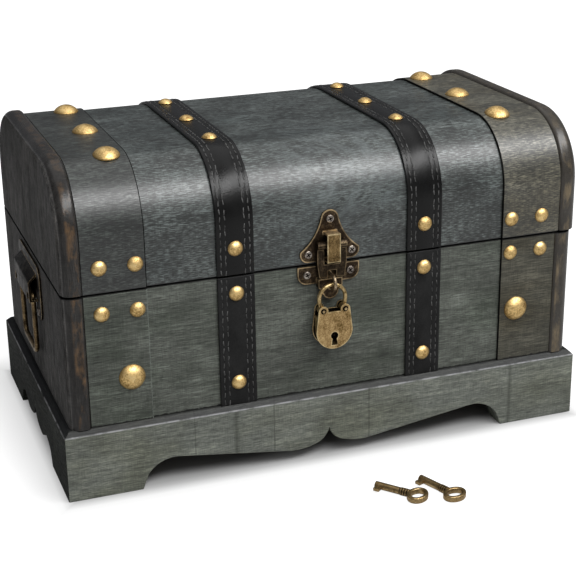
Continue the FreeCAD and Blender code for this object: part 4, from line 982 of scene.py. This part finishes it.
@dataclass
class Woodwork:
    """Plinth, box and lid boards: eased copies of the CAD boards with their stains."""

    ease_mm: float = 0.5
    panel_ease_mm: float = 0.3
    # How wide the inner edge of a band is, which carries a painted line of shade or of highlight
    edge_mm: float = 0.45
    # The stain runs this far over the edge of an end board's inner face, under the panels
    bare_inset: float = 3.5
    # How square to the board's length a face is to count as its inner face
    square: float = 0.99
    bead_half: float = 88.5
    bead_top: float = 178.3
    bead_shoulders: Span = (37.5, 40.5)
    bead_proud: float = 2.5

    def build(self) -> None:
        """Ease and stain every board."""
        for word in ("front", "back"):
            self.plain(f"plinth_{word}", PLINTH, self.ease_mm)
        for word, bead in zip(SIDES, (BEAD_LEFT, BEAD_RIGHT)):
            self.plain(f"plinth_{word}", PLINTH_END, self.ease_mm)
            for part in ("box", "lid"):
                self.end_board(f"{part}_end_{word}", bead)
        self.panel("box_front", BOX_PANEL)
        self.panel("box_back", BOX_PANEL)
        self.panel("lid_skin_panel", LID_PANEL)
        self.plain("box_floor", BARE_PINE, self.panel_ease_mm)
        self.band("lid_band_left", LID_BAND_LEFT, SHADE_EDGE)
        self.band("lid_band_right", LID_BAND_RIGHT, SHADE_EDGE)
        self.band("box_band_left", BOX_BAND_LEFT, HIGHLIGHT_EDGE)
        self.band("box_band_right", BOX_BAND_RIGHT, SHADE_EDGE)

    def laid(self, piece: Piece, name: str) -> None:
        """Shade a finished board so that its broad faces look flat, and let it stand for its CAD node.

        Args:
            piece: the board.
            name: the CAD node.
        """
        smooth(piece, SMOOTH_ANGLE)
        applied(piece, "WEIGHTED_NORMAL", keep_sharp=True)
        dressed(piece, name)

    def plain(self, name: str, finish: Finish, ease_mm: float) -> None:
        """A board with one finish all over."""
        self.laid(eased(name, [finish], ease_mm), name)

    def panel(self, name: str, finish: Finish) -> None:
        """A panel of the box or the lid, stained outside and bare inside.

        Args:
            name: the CAD node.
            finish: its outer finish.
        """
        piece = eased(name, [finish, BARE_PINE], self.panel_ease_mm)
        for face in piece.data.polygons:
            outward = Vector((0, face.center.y, max(face.center.z - LID_FOOT * MM, 0)))
            face.material_index = int(face.normal.dot(outward) < 0)
        self.laid(piece, name)

    def band(self, name: str, finish: Finish, edge: Finish) -> None:
        """A thin end band, whose inner edge has a finish of its own: a painted line of shade or of
        highlight.

        Args:
            name: the CAD node.
            finish: the band's finish.
            edge: the inner edge's finish, painted shade or a painted highlight.
        """
        piece = eased(name, [finish, edge], self.ease_mm)
        inward = 1 if name.endswith("left") else -1
        line = max(point.co.x * inward for point in piece.data.vertices) - self.edge_mm * MM
        with editing(piece):
            cut((line * inward, 0, 0), (1, 0, 0))
        for face in piece.data.polygons:
            face.material_index = int(face.center.x * inward > line)
        self.laid(piece, name)

    def end_board(self, name: str, bead: Finish) -> None:
        """An end board, bare inside, with the rise of each point on its bead kept for the rubbed crest.

        Args:
            name: the CAD node.
            bead: the finish of its rounded edge.
        """
        piece = eased(name, [END_BOARD, bead, BARE_PINE], self.ease_mm)
        inward = 1 if name.endswith("left") else -1
        with editing(piece):
            bpy.ops.mesh.select_mode(type="FACE")
            bpy.ops.mesh.select_all(action="DESELECT")
            for face in bmesh.from_edit_mesh(piece.data).faces:
                face.select_set(face.normal.x * inward > self.square)
            bmesh.update_edit_mesh(piece.data)
            bpy.ops.mesh.inset(thickness=self.bare_inset * MM)
            bpy.ops.mesh.select_mode(type="VERT")
        for face in piece.data.polygons:
            on_bead = self.below_crest(face.center) < self.bead_proud
            face.material_index = 2 if face.select else int(on_bead)
        crest = piece.data.attributes.new("crest", "FLOAT", "POINT")
        for point in piece.data.vertices:
            crest.data[point.index].value = 1 - self.below_crest(point.co) / self.bead_proud
        self.laid(piece, name)

    def below_crest(self, spot: Vector) -> float:
        """How far a point lies inside the outline of the bead's crest.

        Args:
            spot: the point, in metres.
        Returns:
            The distance, in millimetres.
        """
        across, up = abs(spot.y) / MM, spot.z / MM
        bend = self.bead_shoulders[int(spot.y > 0)]
        side, top = across - (self.bead_half - bend), up - (self.bead_top - bend)
        if top > 0 and side > 0:
            return bend - math.hypot(side, top)
        return min(self.bead_half - across, self.bead_top - up)


@dataclass
class LeatherStraps:
    """Two straps over the lid and down the box front, with pressed lines and sewn rows along both edges."""

    width: float = 20.5
    shoulder: float = 35.0
    back_shoulder: float = 43.0
    bend_steps: int = 14
    box_top: float = 112.4
    # Each groove by its distance from the strap's edge, its half width and its depth
    groove_insets: Span = (2.3, 5.0)
    groove_half: float = 0.55
    groove_depth: float = 0.22
    # How far the leather under the grooves stays off the wood
    back_gap: float = 0.05
    ease_mm: float = 0.35
    ease_angle: float = 55.0
    # One stitch by its width, height and length; the inner rows are shifted by a share of the pitch
    stitch_mm: Triple = (0.62, 0.5, 2.7)
    stitch_round: float = 0.16
    stitch_pitch: float = 4.1
    stitch_lean: float = 7.0
    stitch_sink: float = 0.1
    inner_shift: float = 0.14
    thread_angle: float = 60.0

    def build(self) -> None:
        """Model both straps of the lid and both of the box, then sew them."""
        for word, side in SIDES.items():
            centre = side * STRAP_PLACE
            self.strap(f"lid_strap_{word}", centre, LID_LEATHER, on_lid=True)
            self.sew(f"lid_strap_{word}", centre, LID_THREAD, self.lid_run())
            self.strap(f"box_strap_{word}", centre, BOX_LEATHER, on_lid=False)
            self.sew(f"box_strap_{word}", centre, BOX_THREAD, self.box_run())

    def grooves(self, centre: float) -> list[float]:
        """Where a strap's grooves are along X, from the strap's middle."""
        offsets = [self.width / 2 - inset for inset in self.groove_insets]
        return [centre + side * offset for side in SIDES.values() for offset in offsets]

    def strap(self, name: str, centre: float, leather: Finish, on_lid: bool) -> None:
        """One strap: a flat strip that is extruded and spun along the chest, then thickened.

        Args:
            name: the CAD node.
            centre: the middle of the strap along X, in millimetres.
            leather: its finish.
            on_lid: whether it goes over the lid and down its back.
        """
        foot, head = (LID_FOOT, SKIN_TOP - self.shoulder) if on_lid else (BOX_FOOT, self.box_top)
        grooves = self.grooves(centre)
        piece = added(
            "plane", (self.width * MM, (head - foot) * MM, 1), size=1, rotation=(math.pi / 2, 0, 0),
            location=(centre * MM, -(SKIN_HALF + STRAP_THICK) * MM, (foot + head) / 2 * MM),
        )
        piece.name = f"{name}_leather"
        with editing(piece):
            for groove in grooves:
                for line in (groove - self.groove_half, groove, groove + self.groove_half):
                    cut((line * MM, 0, 0), (1, 0, 0))
            if on_lid:
                self.over_lid()
            bpy.ops.mesh.select_all(action="SELECT")
            bpy.ops.mesh.normals_make_consistent(inside=False)
            if self.faces_back(piece):
                bpy.ops.mesh.flip_normals()
            pick(lambda point: any(abs(point.co.x / MM - groove) < NEAR for groove in grooves))
            bpy.ops.transform.shrink_fatten(value=-self.groove_depth * MM)
        thick = STRAP_THICK - self.groove_depth - self.back_gap
        applied(piece, "SOLIDIFY", thickness=thick * MM, offset=-1.0)
        applied(
            piece, "BEVEL", width=self.ease_mm * MM, segments=2, limit_method="ANGLE",
            angle_limit=math.radians(self.ease_angle),
        )
        smooth(piece, ROUND_ANGLE)
        coated(piece, [leather])
        dressed(piece, name)

    def faces_back(self, piece: Piece) -> bool:
        """Whether the open strip's frontmost face looks to the chest's back."""
        faces = bmesh.from_edit_mesh(piece.data).faces
        return min(faces, key=lambda face: face.calc_center_median().y).normal.y > 0

    def over_lid(self) -> None:
        """Carry the strip on over the lid: front shoulder, top, back shoulder and back."""
        front_y, back_y = self.shoulder - SKIN_HALF, SKIN_HALF - self.back_shoulder
        front_z, back_z = SKIN_TOP - self.shoulder, SKIN_TOP - self.back_shoulder
        top = SKIN_TOP + STRAP_THICK
        quarter = {"steps": self.bend_steps, "angle": math.radians(90), "axis": (1, 0, 0)}
        pick(lambda point: abs(point.co.z / MM - front_z) < NEAR)
        bpy.ops.mesh.spin(**quarter, center=(0, front_y * MM, front_z * MM))
        pick(lambda point: abs(point.co.z / MM - top) < NEAR)
        bpy.ops.mesh.extrude_region_move(TRANSFORM_OT_translate={"value": (0, (back_y - front_y) * MM, 0)})
        pick(lambda point: abs(point.co.y / MM - back_y) < NEAR)
        bpy.ops.mesh.spin(**quarter, center=(0, back_y * MM, back_z * MM))
        pick(lambda point: abs(point.co.z / MM - back_z) < NEAR and point.co.y > 0)
        bpy.ops.mesh.extrude_region_move(TRANSFORM_OT_translate={"value": (0, 0, (LID_FOOT - back_z) * MM)})
        bpy.ops.mesh.select_all(action="SELECT")
        bpy.ops.mesh.remove_doubles(threshold=0.1 * NEAR * MM)

    def lid_run(self) -> list[Triple]:
        """Stitch places along the lid strap.

        Returns:
            Y, Z and the tangent's slope in radians (0 is up the front), all at the strap's face.
        """
        face, top = SKIN_HALF + STRAP_THICK, SKIN_TOP + STRAP_THICK
        bend, back_bend = self.shoulder + STRAP_THICK, self.back_shoulder + STRAP_THICK
        stretches = [
            top - bend - LID_FOOT, bend * math.pi / 2, 2 * face - bend - back_bend, back_bend * math.pi / 2,
            top - back_bend - LID_FOOT,
        ]
        run = []
        count = int(sum(stretches) / self.stitch_pitch)
        for step in range(count):
            along, stretch = (step + 0.5) * sum(stretches) / count, 0
            while along > stretches[stretch]:
                along -= stretches[stretch]
                stretch += 1
            turn = along / bend if stretch == 1 else math.pi / 2 + along / back_bend
            out, up = math.cos(turn), math.sin(turn)
            run.append([
                (-face, LID_FOOT + along, 0.0),
                (bend - face - bend * out, top - bend + bend * up, turn),
                (bend - face + along, top, math.pi / 2),
                (face - back_bend - back_bend * out, top - back_bend + back_bend * up, turn),
                (face, top - back_bend - along, math.pi),
            ][stretch])
        return run

    def box_run(self) -> list[Triple]:
        """Stitch places along the box strap, as the lid's."""
        count = int((self.box_top - BOX_FOOT) / self.stitch_pitch)
        pitch = (self.box_top - BOX_FOOT) / count
        return [(-(SKIN_HALF + STRAP_THICK), BOX_FOOT + (step + 0.5) * pitch, 0.0) for step in range(count)]

    def sew(self, name: str, centre: float, thread: Finish, run: list[Triple]) -> None:
        """Lay the stitches of one strap in its grooves.

        Args:
            name: the CAD node of the strap.
            centre: the middle of the strap along X, in millimetres.
            thread: the stitches' finish.
            run: the stitch places along the strap.
        """
        places = []
        for number, (along, up, slope) in enumerate(run):
            for line, across in enumerate(self.grooves(centre)):
                row = line % len(self.groove_insets)
                shift = row * self.inner_shift * self.stitch_pitch * (1 if number % 2 else -1)
                lean = math.radians(self.stitch_lean if (number + row) % 2 else -self.stitch_lean)
                place = Matrix.Translation((across * MM, along * MM, up * MM))
                turn = Matrix.Rotation(-slope, 4, "X") @ Matrix.Rotation(lean, 4, "Y")
                places.append(place @ turn @ Matrix.Translation((0, self.stitch_sink * MM, shift * MM)))
        piece = copied(self.stitch(), f"{name}_stitches", places)
        coated(piece, [thread])
        smooth(piece, self.thread_angle)
        carried(piece, name)
        LOG.info("%s: %d stitches", piece.name, len(places))

    def stitch(self) -> Piece:
        """One stitch: a short thread along Z with rounded edges."""
        master = added("cube", tuple(size * MM for size in self.stitch_mm), size=1)
        with editing(master):
            bpy.ops.mesh.bevel(offset=self.stitch_round * MM, segments=1, affect="EDGES")
        return master


class Facing(Enum):
    """Which way a fastener's head looks: the turn that brings +Z there."""

    FRONT = Matrix(((1, 0, 0), (0, 0, -1), (0, 1, 0)))
    BACK = Matrix(((-1, 0, 0), (0, 0, 1), (0, 1, 0)))
    LEFT = Matrix(((0, 0, -1), (-1, 0, 0), (0, 1, 0)))
    RIGHT = Matrix(((0, 0, 1), (1, 0, 0), (0, 1, 0)))
    UP = Matrix.Identity(3)
    FRONT_EDGE = Matrix.Rotation(math.radians(TACK_LEAN), 3, "X")

    def at(self, spot: Triple, spin: float) -> Matrix:
        """The matrix of a head at a spot in millimetres, spun about its own axis."""
        return Matrix.Translation(Vector(spot) * MM) @ self.value.to_4x4() @ Matrix.Rotation(spin, 4, "Z")


@dataclass
class Tacks:
    """Domed brass tacks: one small head and one large one, cut from a ball and copied to every place."""

    # Radius and rise
    small: Span = (4.3, 2.6)
    large: Span = (7.2, 4.0)
    # The height where the dome ends in an upright rim, and how far down the rim goes
    rim: float = 0.25
    rim_deep: float = 0.5
    segments: int = 40
    inner: float = 107.0
    outer: float = 125.8
    large_place: float = 111.8
    # Heights on the left and on the right band, as hammered in by hand
    box_band_heights: Span = (101.9, 104.4)
    lid_band_heights: Span = (126.6, 124.0)
    box_large_heights: Span = (65.0, 70.4)
    box_strap_heights: Span = (103.2, 52.5)
    lid_strap_height: float = 128.0
    strap_top_places: Triple = (-47.5, -4.0, 39.5)
    band_top_places: Span = (-7.0, 43.0)
    band_front_place: Span = (-56.97, 176.5)
    # How far a head may be turned, so that no two marks look alike
    spin_reach: float = 0.5
    spin_step: float = 2.4

    def build(self) -> None:
        """Copy the heads to the places of the CAD tacks."""
        band, strap = -(SKIN_HALF + BAND_THICK), -(SKIN_HALF + STRAP_THICK)
        band_top, strap_top = SKIN_TOP + BAND_THICK, SKIN_TOP + STRAP_THICK
        box_small, lid_small, box_large, lid_large = [], [], [], []
        for number, side in enumerate(SIDES.values()):
            for place in (self.inner, self.outer):
                box_small.append((Facing.FRONT, side * place, band, self.box_band_heights[number]))
                lid_small.append((Facing.FRONT, side * place, band, self.lid_band_heights[number]))
            for up in self.box_strap_heights:
                box_small.append((Facing.FRONT, side * STRAP_PLACE, strap, up))
            lid_small.append((Facing.FRONT, side * STRAP_PLACE, strap, self.lid_strap_height))
            for along in self.strap_top_places:
                lid_small.append((Facing.UP, side * STRAP_PLACE, along, strap_top))
            across = side * self.large_place
            box_large.append((Facing.FRONT, across, band, self.box_large_heights[number]))
            for along in self.band_top_places:
                lid_large.append((Facing.UP, across, along, band_top))
            lid_large.append((Facing.FRONT_EDGE, across, *self.band_front_place))
        self.heads("box_tacks_small", self.small, box_small)
        self.heads("lid_tacks_small", self.small, lid_small)
        self.heads("box_tacks_large", self.large, box_large)
        self.heads("lid_tacks_large", self.large, lid_large)

    def heads(self, name: str, size: Span, places: list[tuple]) -> None:
        """All the heads that stand for one CAD node.

        Args:
            name: the CAD node.
            size: the head's radius and rise, in millimetres.
            places: which way each head looks, and where its foot is.
        """
        spots = [
            facing.at(spot, self.spin_reach * math.sin(number * self.spin_step))
            for number, (facing, *spot) in enumerate(places)
        ]
        piece = copied(self.head(*size), f"{name}_heads", spots)
        smooth(piece, ROUND_ANGLE)
        coated(piece, [TACK_BRASS])
        dressed(piece, name)

    def head(self, radius: float, rise: float) -> Piece:
        """One head at the origin, facing +Z: a ball cut to a cap, with a thin rim.

        Args:
            radius: the head's radius, in millimetres.
            rise: the dome's height.
        Returns:
            The head, with its own coordinates kept for its marks.
        """
        ball = (radius ** 2 + rise ** 2) / (2 * rise)
        master = added(
            "uv_sphere", radius=ball * MM, segments=self.segments, ring_count=self.segments,
            location=(0, 0, (rise - ball) * MM),
        )
        with editing(master):
            cut((0, 0, self.rim * MM), (0, 0, 1), clear_inner=True)
            pick(lambda point: abs(point.co.z / MM - self.rim) < NEAR)
            bpy.ops.mesh.extrude_region_move(TRANSFORM_OT_translate={"value": (0, 0, -self.rim_deep * MM)})
        own = master.data.attributes.new("dome", "FLOAT_VECTOR", "POINT")
        for point in master.data.vertices:
            spot = point.co / MM
            own.data[point.index].vector = (spot.x / radius, spot.y / radius, spot.z / rise)
        return master


@dataclass
class Screws:
    """Round-headed screws with a cross recess, for the hasp, the staple, the hinges and the handles."""

    radius: float = 2.2
    rise: float = 0.9
    sunk: float = 0.2
    round_mm: float = 0.6
    # What cuts one slot, half of it above the head: its length, width and height
    slot_mm: Triple = (2.7, 0.62, 1.5)
    # How far inside the head a face is to count as part of the recess
    inside: float = 0.05
    smooth_angle: float = 35.0
    # Front and back plates, and the handles' plates on the ends
    face: float = 87.2
    side_face: float = 147.0
    hasp: float = -1.2
    staple: float = -2.0
    spread: float = 12.3
    hasp_low: float = 119.0
    hasp_high: float = 137.6
    staple_height: float = 107.6
    hinge: float = 80.0
    hinge_pitch: float = 16.0
    hinge_heights: Span = (104.4, 121.4)
    handle_spread: float = 50.0
    handle_height: float = 83.7
    # How each head is turned, in radians
    spin_first: float = 0.4
    spin_step: float = 1.7

    def build(self) -> None:
        """Copy the head to every screw of the chest."""
        ways = SIDES.values()
        self.heads("hasp_screws", Facing.FRONT, [
            (self.hasp, -self.face, self.hasp_high),
            *((self.hasp + way * self.spread, -self.face, self.hasp_low) for way in ways),
        ])
        self.heads("staple_screws", Facing.FRONT, [
            (self.staple + way * self.spread, -self.face, self.staple_height) for way in ways
        ])
        across = [side * self.hinge + way * self.hinge_pitch / 2 for side in ways for way in ways]
        for word, up in zip(("box", "lid"), self.hinge_heights):
            self.heads(f"hinge_screws_{word}", Facing.BACK, [(place, self.face, up) for place in across])
        for word, side in SIDES.items():
            self.heads(f"handle_screws_{word}", Facing[word.upper()], [
                (side * self.side_face, way * self.handle_spread / 2, self.handle_height) for way in ways
            ])

    def heads(self, name: str, facing: Facing, spots: list[Triple]) -> None:
        """The heads that stand for one CAD node, each turned to where it came to rest.

        Args:
            name: the CAD node.
            facing: which way the heads look.
            spots: where their feet are, in millimetres.
        """
        places = [
            facing.at(spot, self.spin_first + number * self.spin_step) for number, spot in enumerate(spots)
        ]
        piece = copied(self.head(), f"{name}_heads", places)
        smooth(piece, self.smooth_angle)
        dressed(piece, name)

    def head(self) -> Piece:
        """One head at the origin, facing +Z: a disc with a rounded edge, and a cross cut into it.

        Returns:
            The head, darkened inside its cross.
        """
        master = added(
            "cylinder", radius=self.radius * MM, depth=(self.rise + self.sunk) * MM, vertices=36,
            location=(0, 0, (self.rise - self.sunk) / 2 * MM),
        )
        with editing(master):
            pick(lambda point: point.co.z > 0)
            bpy.ops.mesh.bevel(offset=self.round_mm * MM, segments=4, affect="EDGES")
        for turn in (0.0, math.pi / 2):
            cutter = added(
                "cube", tuple(size * MM for size in self.slot_mm), size=1, location=(0, 0, self.rise * MM),
                rotation=(0, 0, turn),
            )
            applied(master, "BOOLEAN", object=cutter, operation="DIFFERENCE", solver="EXACT")
            bpy.data.objects.remove(cutter)
        coated(master, [SCREW_STEEL, DARK_RECESS])
        reach = self.slot_mm[0] / 2 + self.inside
        for face in master.data.polygons:
            sunk = self.inside < face.center.z / MM < self.rise - self.inside
            face.material_index = int(sunk and face.center.to_2d().length / MM < reach)
        return master


@dataclass
class Metalwork:
    """Hasp, staple, padlock, handles, hinges and keys: eased copies of the CAD pieces in aged metal."""

    ease_mm: float = 0.3
    # How fine a plate is cut, so that it can keep the distance from its outline
    grid_mm: float = 0.6
    # How far to the front a face looks (-1 is straight) to count as a front, a bridge or a rivet's middle
    front: float = -0.95
    bridge_front: float = -0.3
    rivet_front: float = -0.9
    bridge_deep: float = 0.4
    # A key's grooves: edges that bend in by this angle, between faces no longer than this
    groove_angle: float = 20.0
    groove_mm: float = 1.3

    def build(self) -> None:
        """Ease and finish every metal piece; the padlock's inside keeps its CAD meshes."""
        self.bridge(self.plate("hasp_plate", [HASP_BRONZE, BRIDGE_BRONZE]))
        self.plate("staple_plate", [HASP_BRONZE])
        self.plate("hasp_arm", [ARM_BRONZE])
        self.wire("staple", STAPLE_BRONZE)
        self.plate("padlock_front_plate", [LOCK_BRONZE])
        self.lined(self.edged("padlock_back_plate", SHACKLE_BRONZE))
        self.edged("padlock_rim", SHACKLE_BRONZE)
        self.rivets()
        self.wire("padlock_shackle", SHACKLE_BRONZE)
        for word in SIDES:
            self.edged(f"handle_plate_{word}", HANDLE_BRONZE)
            self.wire(f"handle_bail_{word}", BAIL_BRONZE)
            for part in ("leaf_box", "leaf_lid", "pin"):
                self.edged(f"hinge_{part}_{word}", HINGE_BRONZE)
        self.key("key_first")
        self.key("key_second")
        # Painted shade: the latch, its pivot and the key pin inside the keyhole are made near black
        for name in ("padlock_latch", "padlock_latch_pivot", "padlock_key_pin"):
            kept = frame["nodes"][name]
            kept.data.materials.clear()
            kept.data.materials.append(DARK_RECESS.material())
            LOG.info("%s: kept from the CAD", name)

    def edged(self, name: str, finish: Finish) -> Piece:
        """One metal piece whose eased edges are rubbed bright, partly as a painted highlight."""
        return dressed(eased(name, [finish, BRIGHT_BRONZE], self.ease_mm, edge_slot=1), name)

    def wire(self, name: str, finish: Finish) -> None:
        """One bent wire, which is round already."""
        dressed(eased(name, [finish], 0.0), name)

    def lined(self, plate: Piece) -> None:
        """Paint the inner face of the padlock's back plate near black as shade, where it shows through the
        keyhole.

        Args:
            plate: the back plate.
        """
        plate.data.materials.append(DARK_RECESS.material())
        for face in plate.data.polygons:
            if face.normal.y < self.front:
                face.material_index = 2

    def key(self, name: str) -> None:
        """One cast key, darkened in the grooves of its collar.

        Args:
            name: the CAD node.
        """
        piece = eased(name, [KEY_BRONZE, DARK_RECESS], 0.0)
        form = bmesh.new()
        form.from_mesh(piece.data)
        for edge in form.edges:
            if edge.is_contiguous and edge.calc_face_angle_signed() < -math.radians(self.groove_angle):
                for face in edge.link_faces:
                    if max(side.calc_length() for side in face.edges) < self.groove_mm * MM:
                        face.material_index = 1
        form.to_mesh(piece.data)
        form.free()
        dressed(piece, name)

    def plate(self, name: str, finishes: list[Finish]) -> Piece:
        """One stamped plate, cut into a fine grid that keeps each point's distance from its outline.

        Args:
            name: the CAD node.
            finishes: the plate's finishes.
        Returns:
            The plate.
        """
        piece = eased(name, finishes, self.ease_mm)
        spots = [point.co.copy() for point in piece.data.vertices]
        with editing(piece):
            for axis, way in ((0, (1, 0, 0)), (2, (0, 0, 1))):
                low, high = min(spot[axis] for spot in spots), max(spot[axis] for spot in spots)
                for step in range(1, int((high - low) / self.grid_mm / MM)):
                    cut(tuple((low + step * self.grid_mm * MM) * part for part in way), way)
        outline = self.outline(piece)
        rim = piece.data.attributes.new("rim", "FLOAT", "POINT")
        for point in piece.data.vertices:
            rim.data[point.index].value = outline.find(point.co)[2] / MM
        smooth(piece, SMOOTH_ANGLE)
        return dressed(piece, name)

    def outline(self, piece: Piece) -> KDTree:
        """The points along the edges where a plate's front faces end.

        Args:
            piece: the plate.
        Returns:
            A tree that finds the nearest of them.
        """
        fronts = [face for face in piece.data.polygons if face.normal.y < self.front]
        uses = Counter(key for face in fronts for key in face.edge_keys)
        keys = [key for key, count in uses.items() if count == 1]
        ends = [[piece.data.vertices[number].co for number in key] for key in keys]
        tree = KDTree(3 * len(ends))
        for number, (start, end) in enumerate(ends):
            for part, spot in enumerate((start, end, (start + end) / 2)):
                tree.insert(spot, 3 * number + part)
        tree.balance()
        return tree

    def bridge(self, plate: Piece) -> None:
        """Rub the hasp's foremost face bright, where the arm's bridge stands out.

        Args:
            plate: the hasp's plate.
        """
        foremost = min(point.co.y for point in plate.data.vertices)
        for face in plate.data.polygons:
            if face.normal.y < self.bridge_front and face.center.y - foremost < self.bridge_deep * MM:
                face.material_index = 1

    def rivets(self) -> None:
        """The padlock's rivets: a painted highlight in the middle of the dome, painted shade round it."""
        piece = eased("padlock_rivets", [BRIGHT_BRONZE, DARK_RECESS], 0.0)
        for face in piece.data.polygons:
            face.material_index = int(face.normal.y > self.rivet_front)
        dressed(piece, "padlock_rivets")


@dataclass(frozen=True)
class Lamp:
    """One soft lamp that looks at the chest: its place and size in metres and its power in watts."""

    name: str
    place: Triple
    size: Span
    power: float
    aim: Triple = (0.0, 0.0, 0.09)

    def hang(self) -> None:
        """Add the lamp to the scene."""
        light = bpy.data.lights.new(self.name, "AREA")
        light.shape = "RECTANGLE"
        light.size, light.size_y = self.size
        light.energy = self.power
        lamp = bpy.data.objects.new(self.name, light)
        bpy.context.scene.collection.objects.link(lamp)
        way = Vector(self.aim) - Vector(self.place)
        turn = way.to_track_quat("-Z", "Y").to_matrix().to_4x4()
        lamp.matrix_world = Matrix.Translation(self.place) @ turn


@dataclass
class Studio:
    """Camera at the photograph's angle, a plain white floor, and soft light."""

    camera_place: Triple = (-0.26270, -0.74740, 0.36509)
    camera_right: Triple = (0.93905, -0.34349, -0.01405)
    camera_up: Triple = (0.13299, 0.32529, 0.93621)
    camera_ahead: Triple = (0.31701, 0.88102, -0.35115)
    lens_mm: float = 88.44
    sensor_mm: float = 36.0
    nearest: float = 0.01
    floor_half: float = 4.0
    # The way to the sky's brightest part, and its two colours from far off that way to near it
    sky_way: Triple = (0.3, -0.4, 0.87)
    sky_stops: tuple[tuple[float, str], ...] = ((0.05, "#a4a6aa"), (0.9, "#ffffff"))
    sky_strength: float = 0.38
    lamps: tuple[Lamp, ...] = (
        Lamp("softbox", (0.3, -0.72, 1.02), (1.5, 0.42), 18.5),
        Lamp("top_light", (0.0, 0.34, 1.36), (1.6, 1.3), 4.2),
    )

    def build(self) -> None:
        """Set up the camera, the floor, the sky and the lamps."""
        bpy.context.scene.view_settings.view_transform = "Standard"
        self.camera()
        self.floor()
        self.sky()
        for lamp in self.lamps:
            lamp.hang()

    def camera(self) -> None:
        """The camera, which stands and looks as the photograph's did."""
        lens = bpy.data.cameras.new("camera")
        lens.sensor_width = self.sensor_mm
        lens.lens = self.lens_mm
        lens.clip_start = self.nearest
        camera = bpy.data.objects.new("camera", lens)
        bpy.context.scene.collection.objects.link(camera)
        axes = Matrix((self.camera_right, self.camera_up, -Vector(self.camera_ahead))).transposed()
        camera.matrix_world = Matrix.Translation(self.camera_place) @ axes.to_4x4()
        bpy.context.scene.camera = camera

    def floor(self) -> None:
        """A white floor that keeps the shadow."""
        floor = added("plane", size=2 * self.floor_half)
        floor.name = "floor"
        coated(floor, [PAPER])

    def sky(self) -> None:
        """Soft light from all round, dimmest low behind the chest; the camera itself sees white."""
        world = bpy.data.worlds.new("studio_sky")
        bpy.context.scene.world = world
        world.use_nodes = True
        tree = world.node_tree
        tree.nodes.clear()
        place = node(tree, "TexCoord").outputs["Generated"]
        way = node(tree, "VectorMath", {0: place, 1: self.sky_way}, operation="DOT_PRODUCT")
        fade = node(tree, "ValToRGB", {"Fac": way}, stops=self.sky_stops)
        light = node(tree, "Background", {"Color": fade, "Strength": self.sky_strength})
        paper = node(tree, "Background", {"Color": "#ffffff", "Strength": 1.0})
        path = node(tree, "LightPath").outputs
        seen = node(
            tree, "Math", {0: path["Is Camera Ray"], 1: path["Is Transmission Ray"]}, operation="ADD",
            use_clamp=True,
        )
        node(tree, "OutputWorld", {"Surface": node(tree, "MixShader", {0: seen, 1: light, 2: paper})})


def main() -> None:
    """Build every sub-assembly in order, and log each one when it is done."""
    logging.basicConfig(level=logging.INFO, format="%(name)s: %(message)s")
    for assembly in (Woodwork(), LeatherStraps(), Tacks(), Screws(), Metalwork(), Studio()):
        assembly.build()
        LOG.info("%s done", type(assembly).__name__)


if __name__ == "__main__":
    main()
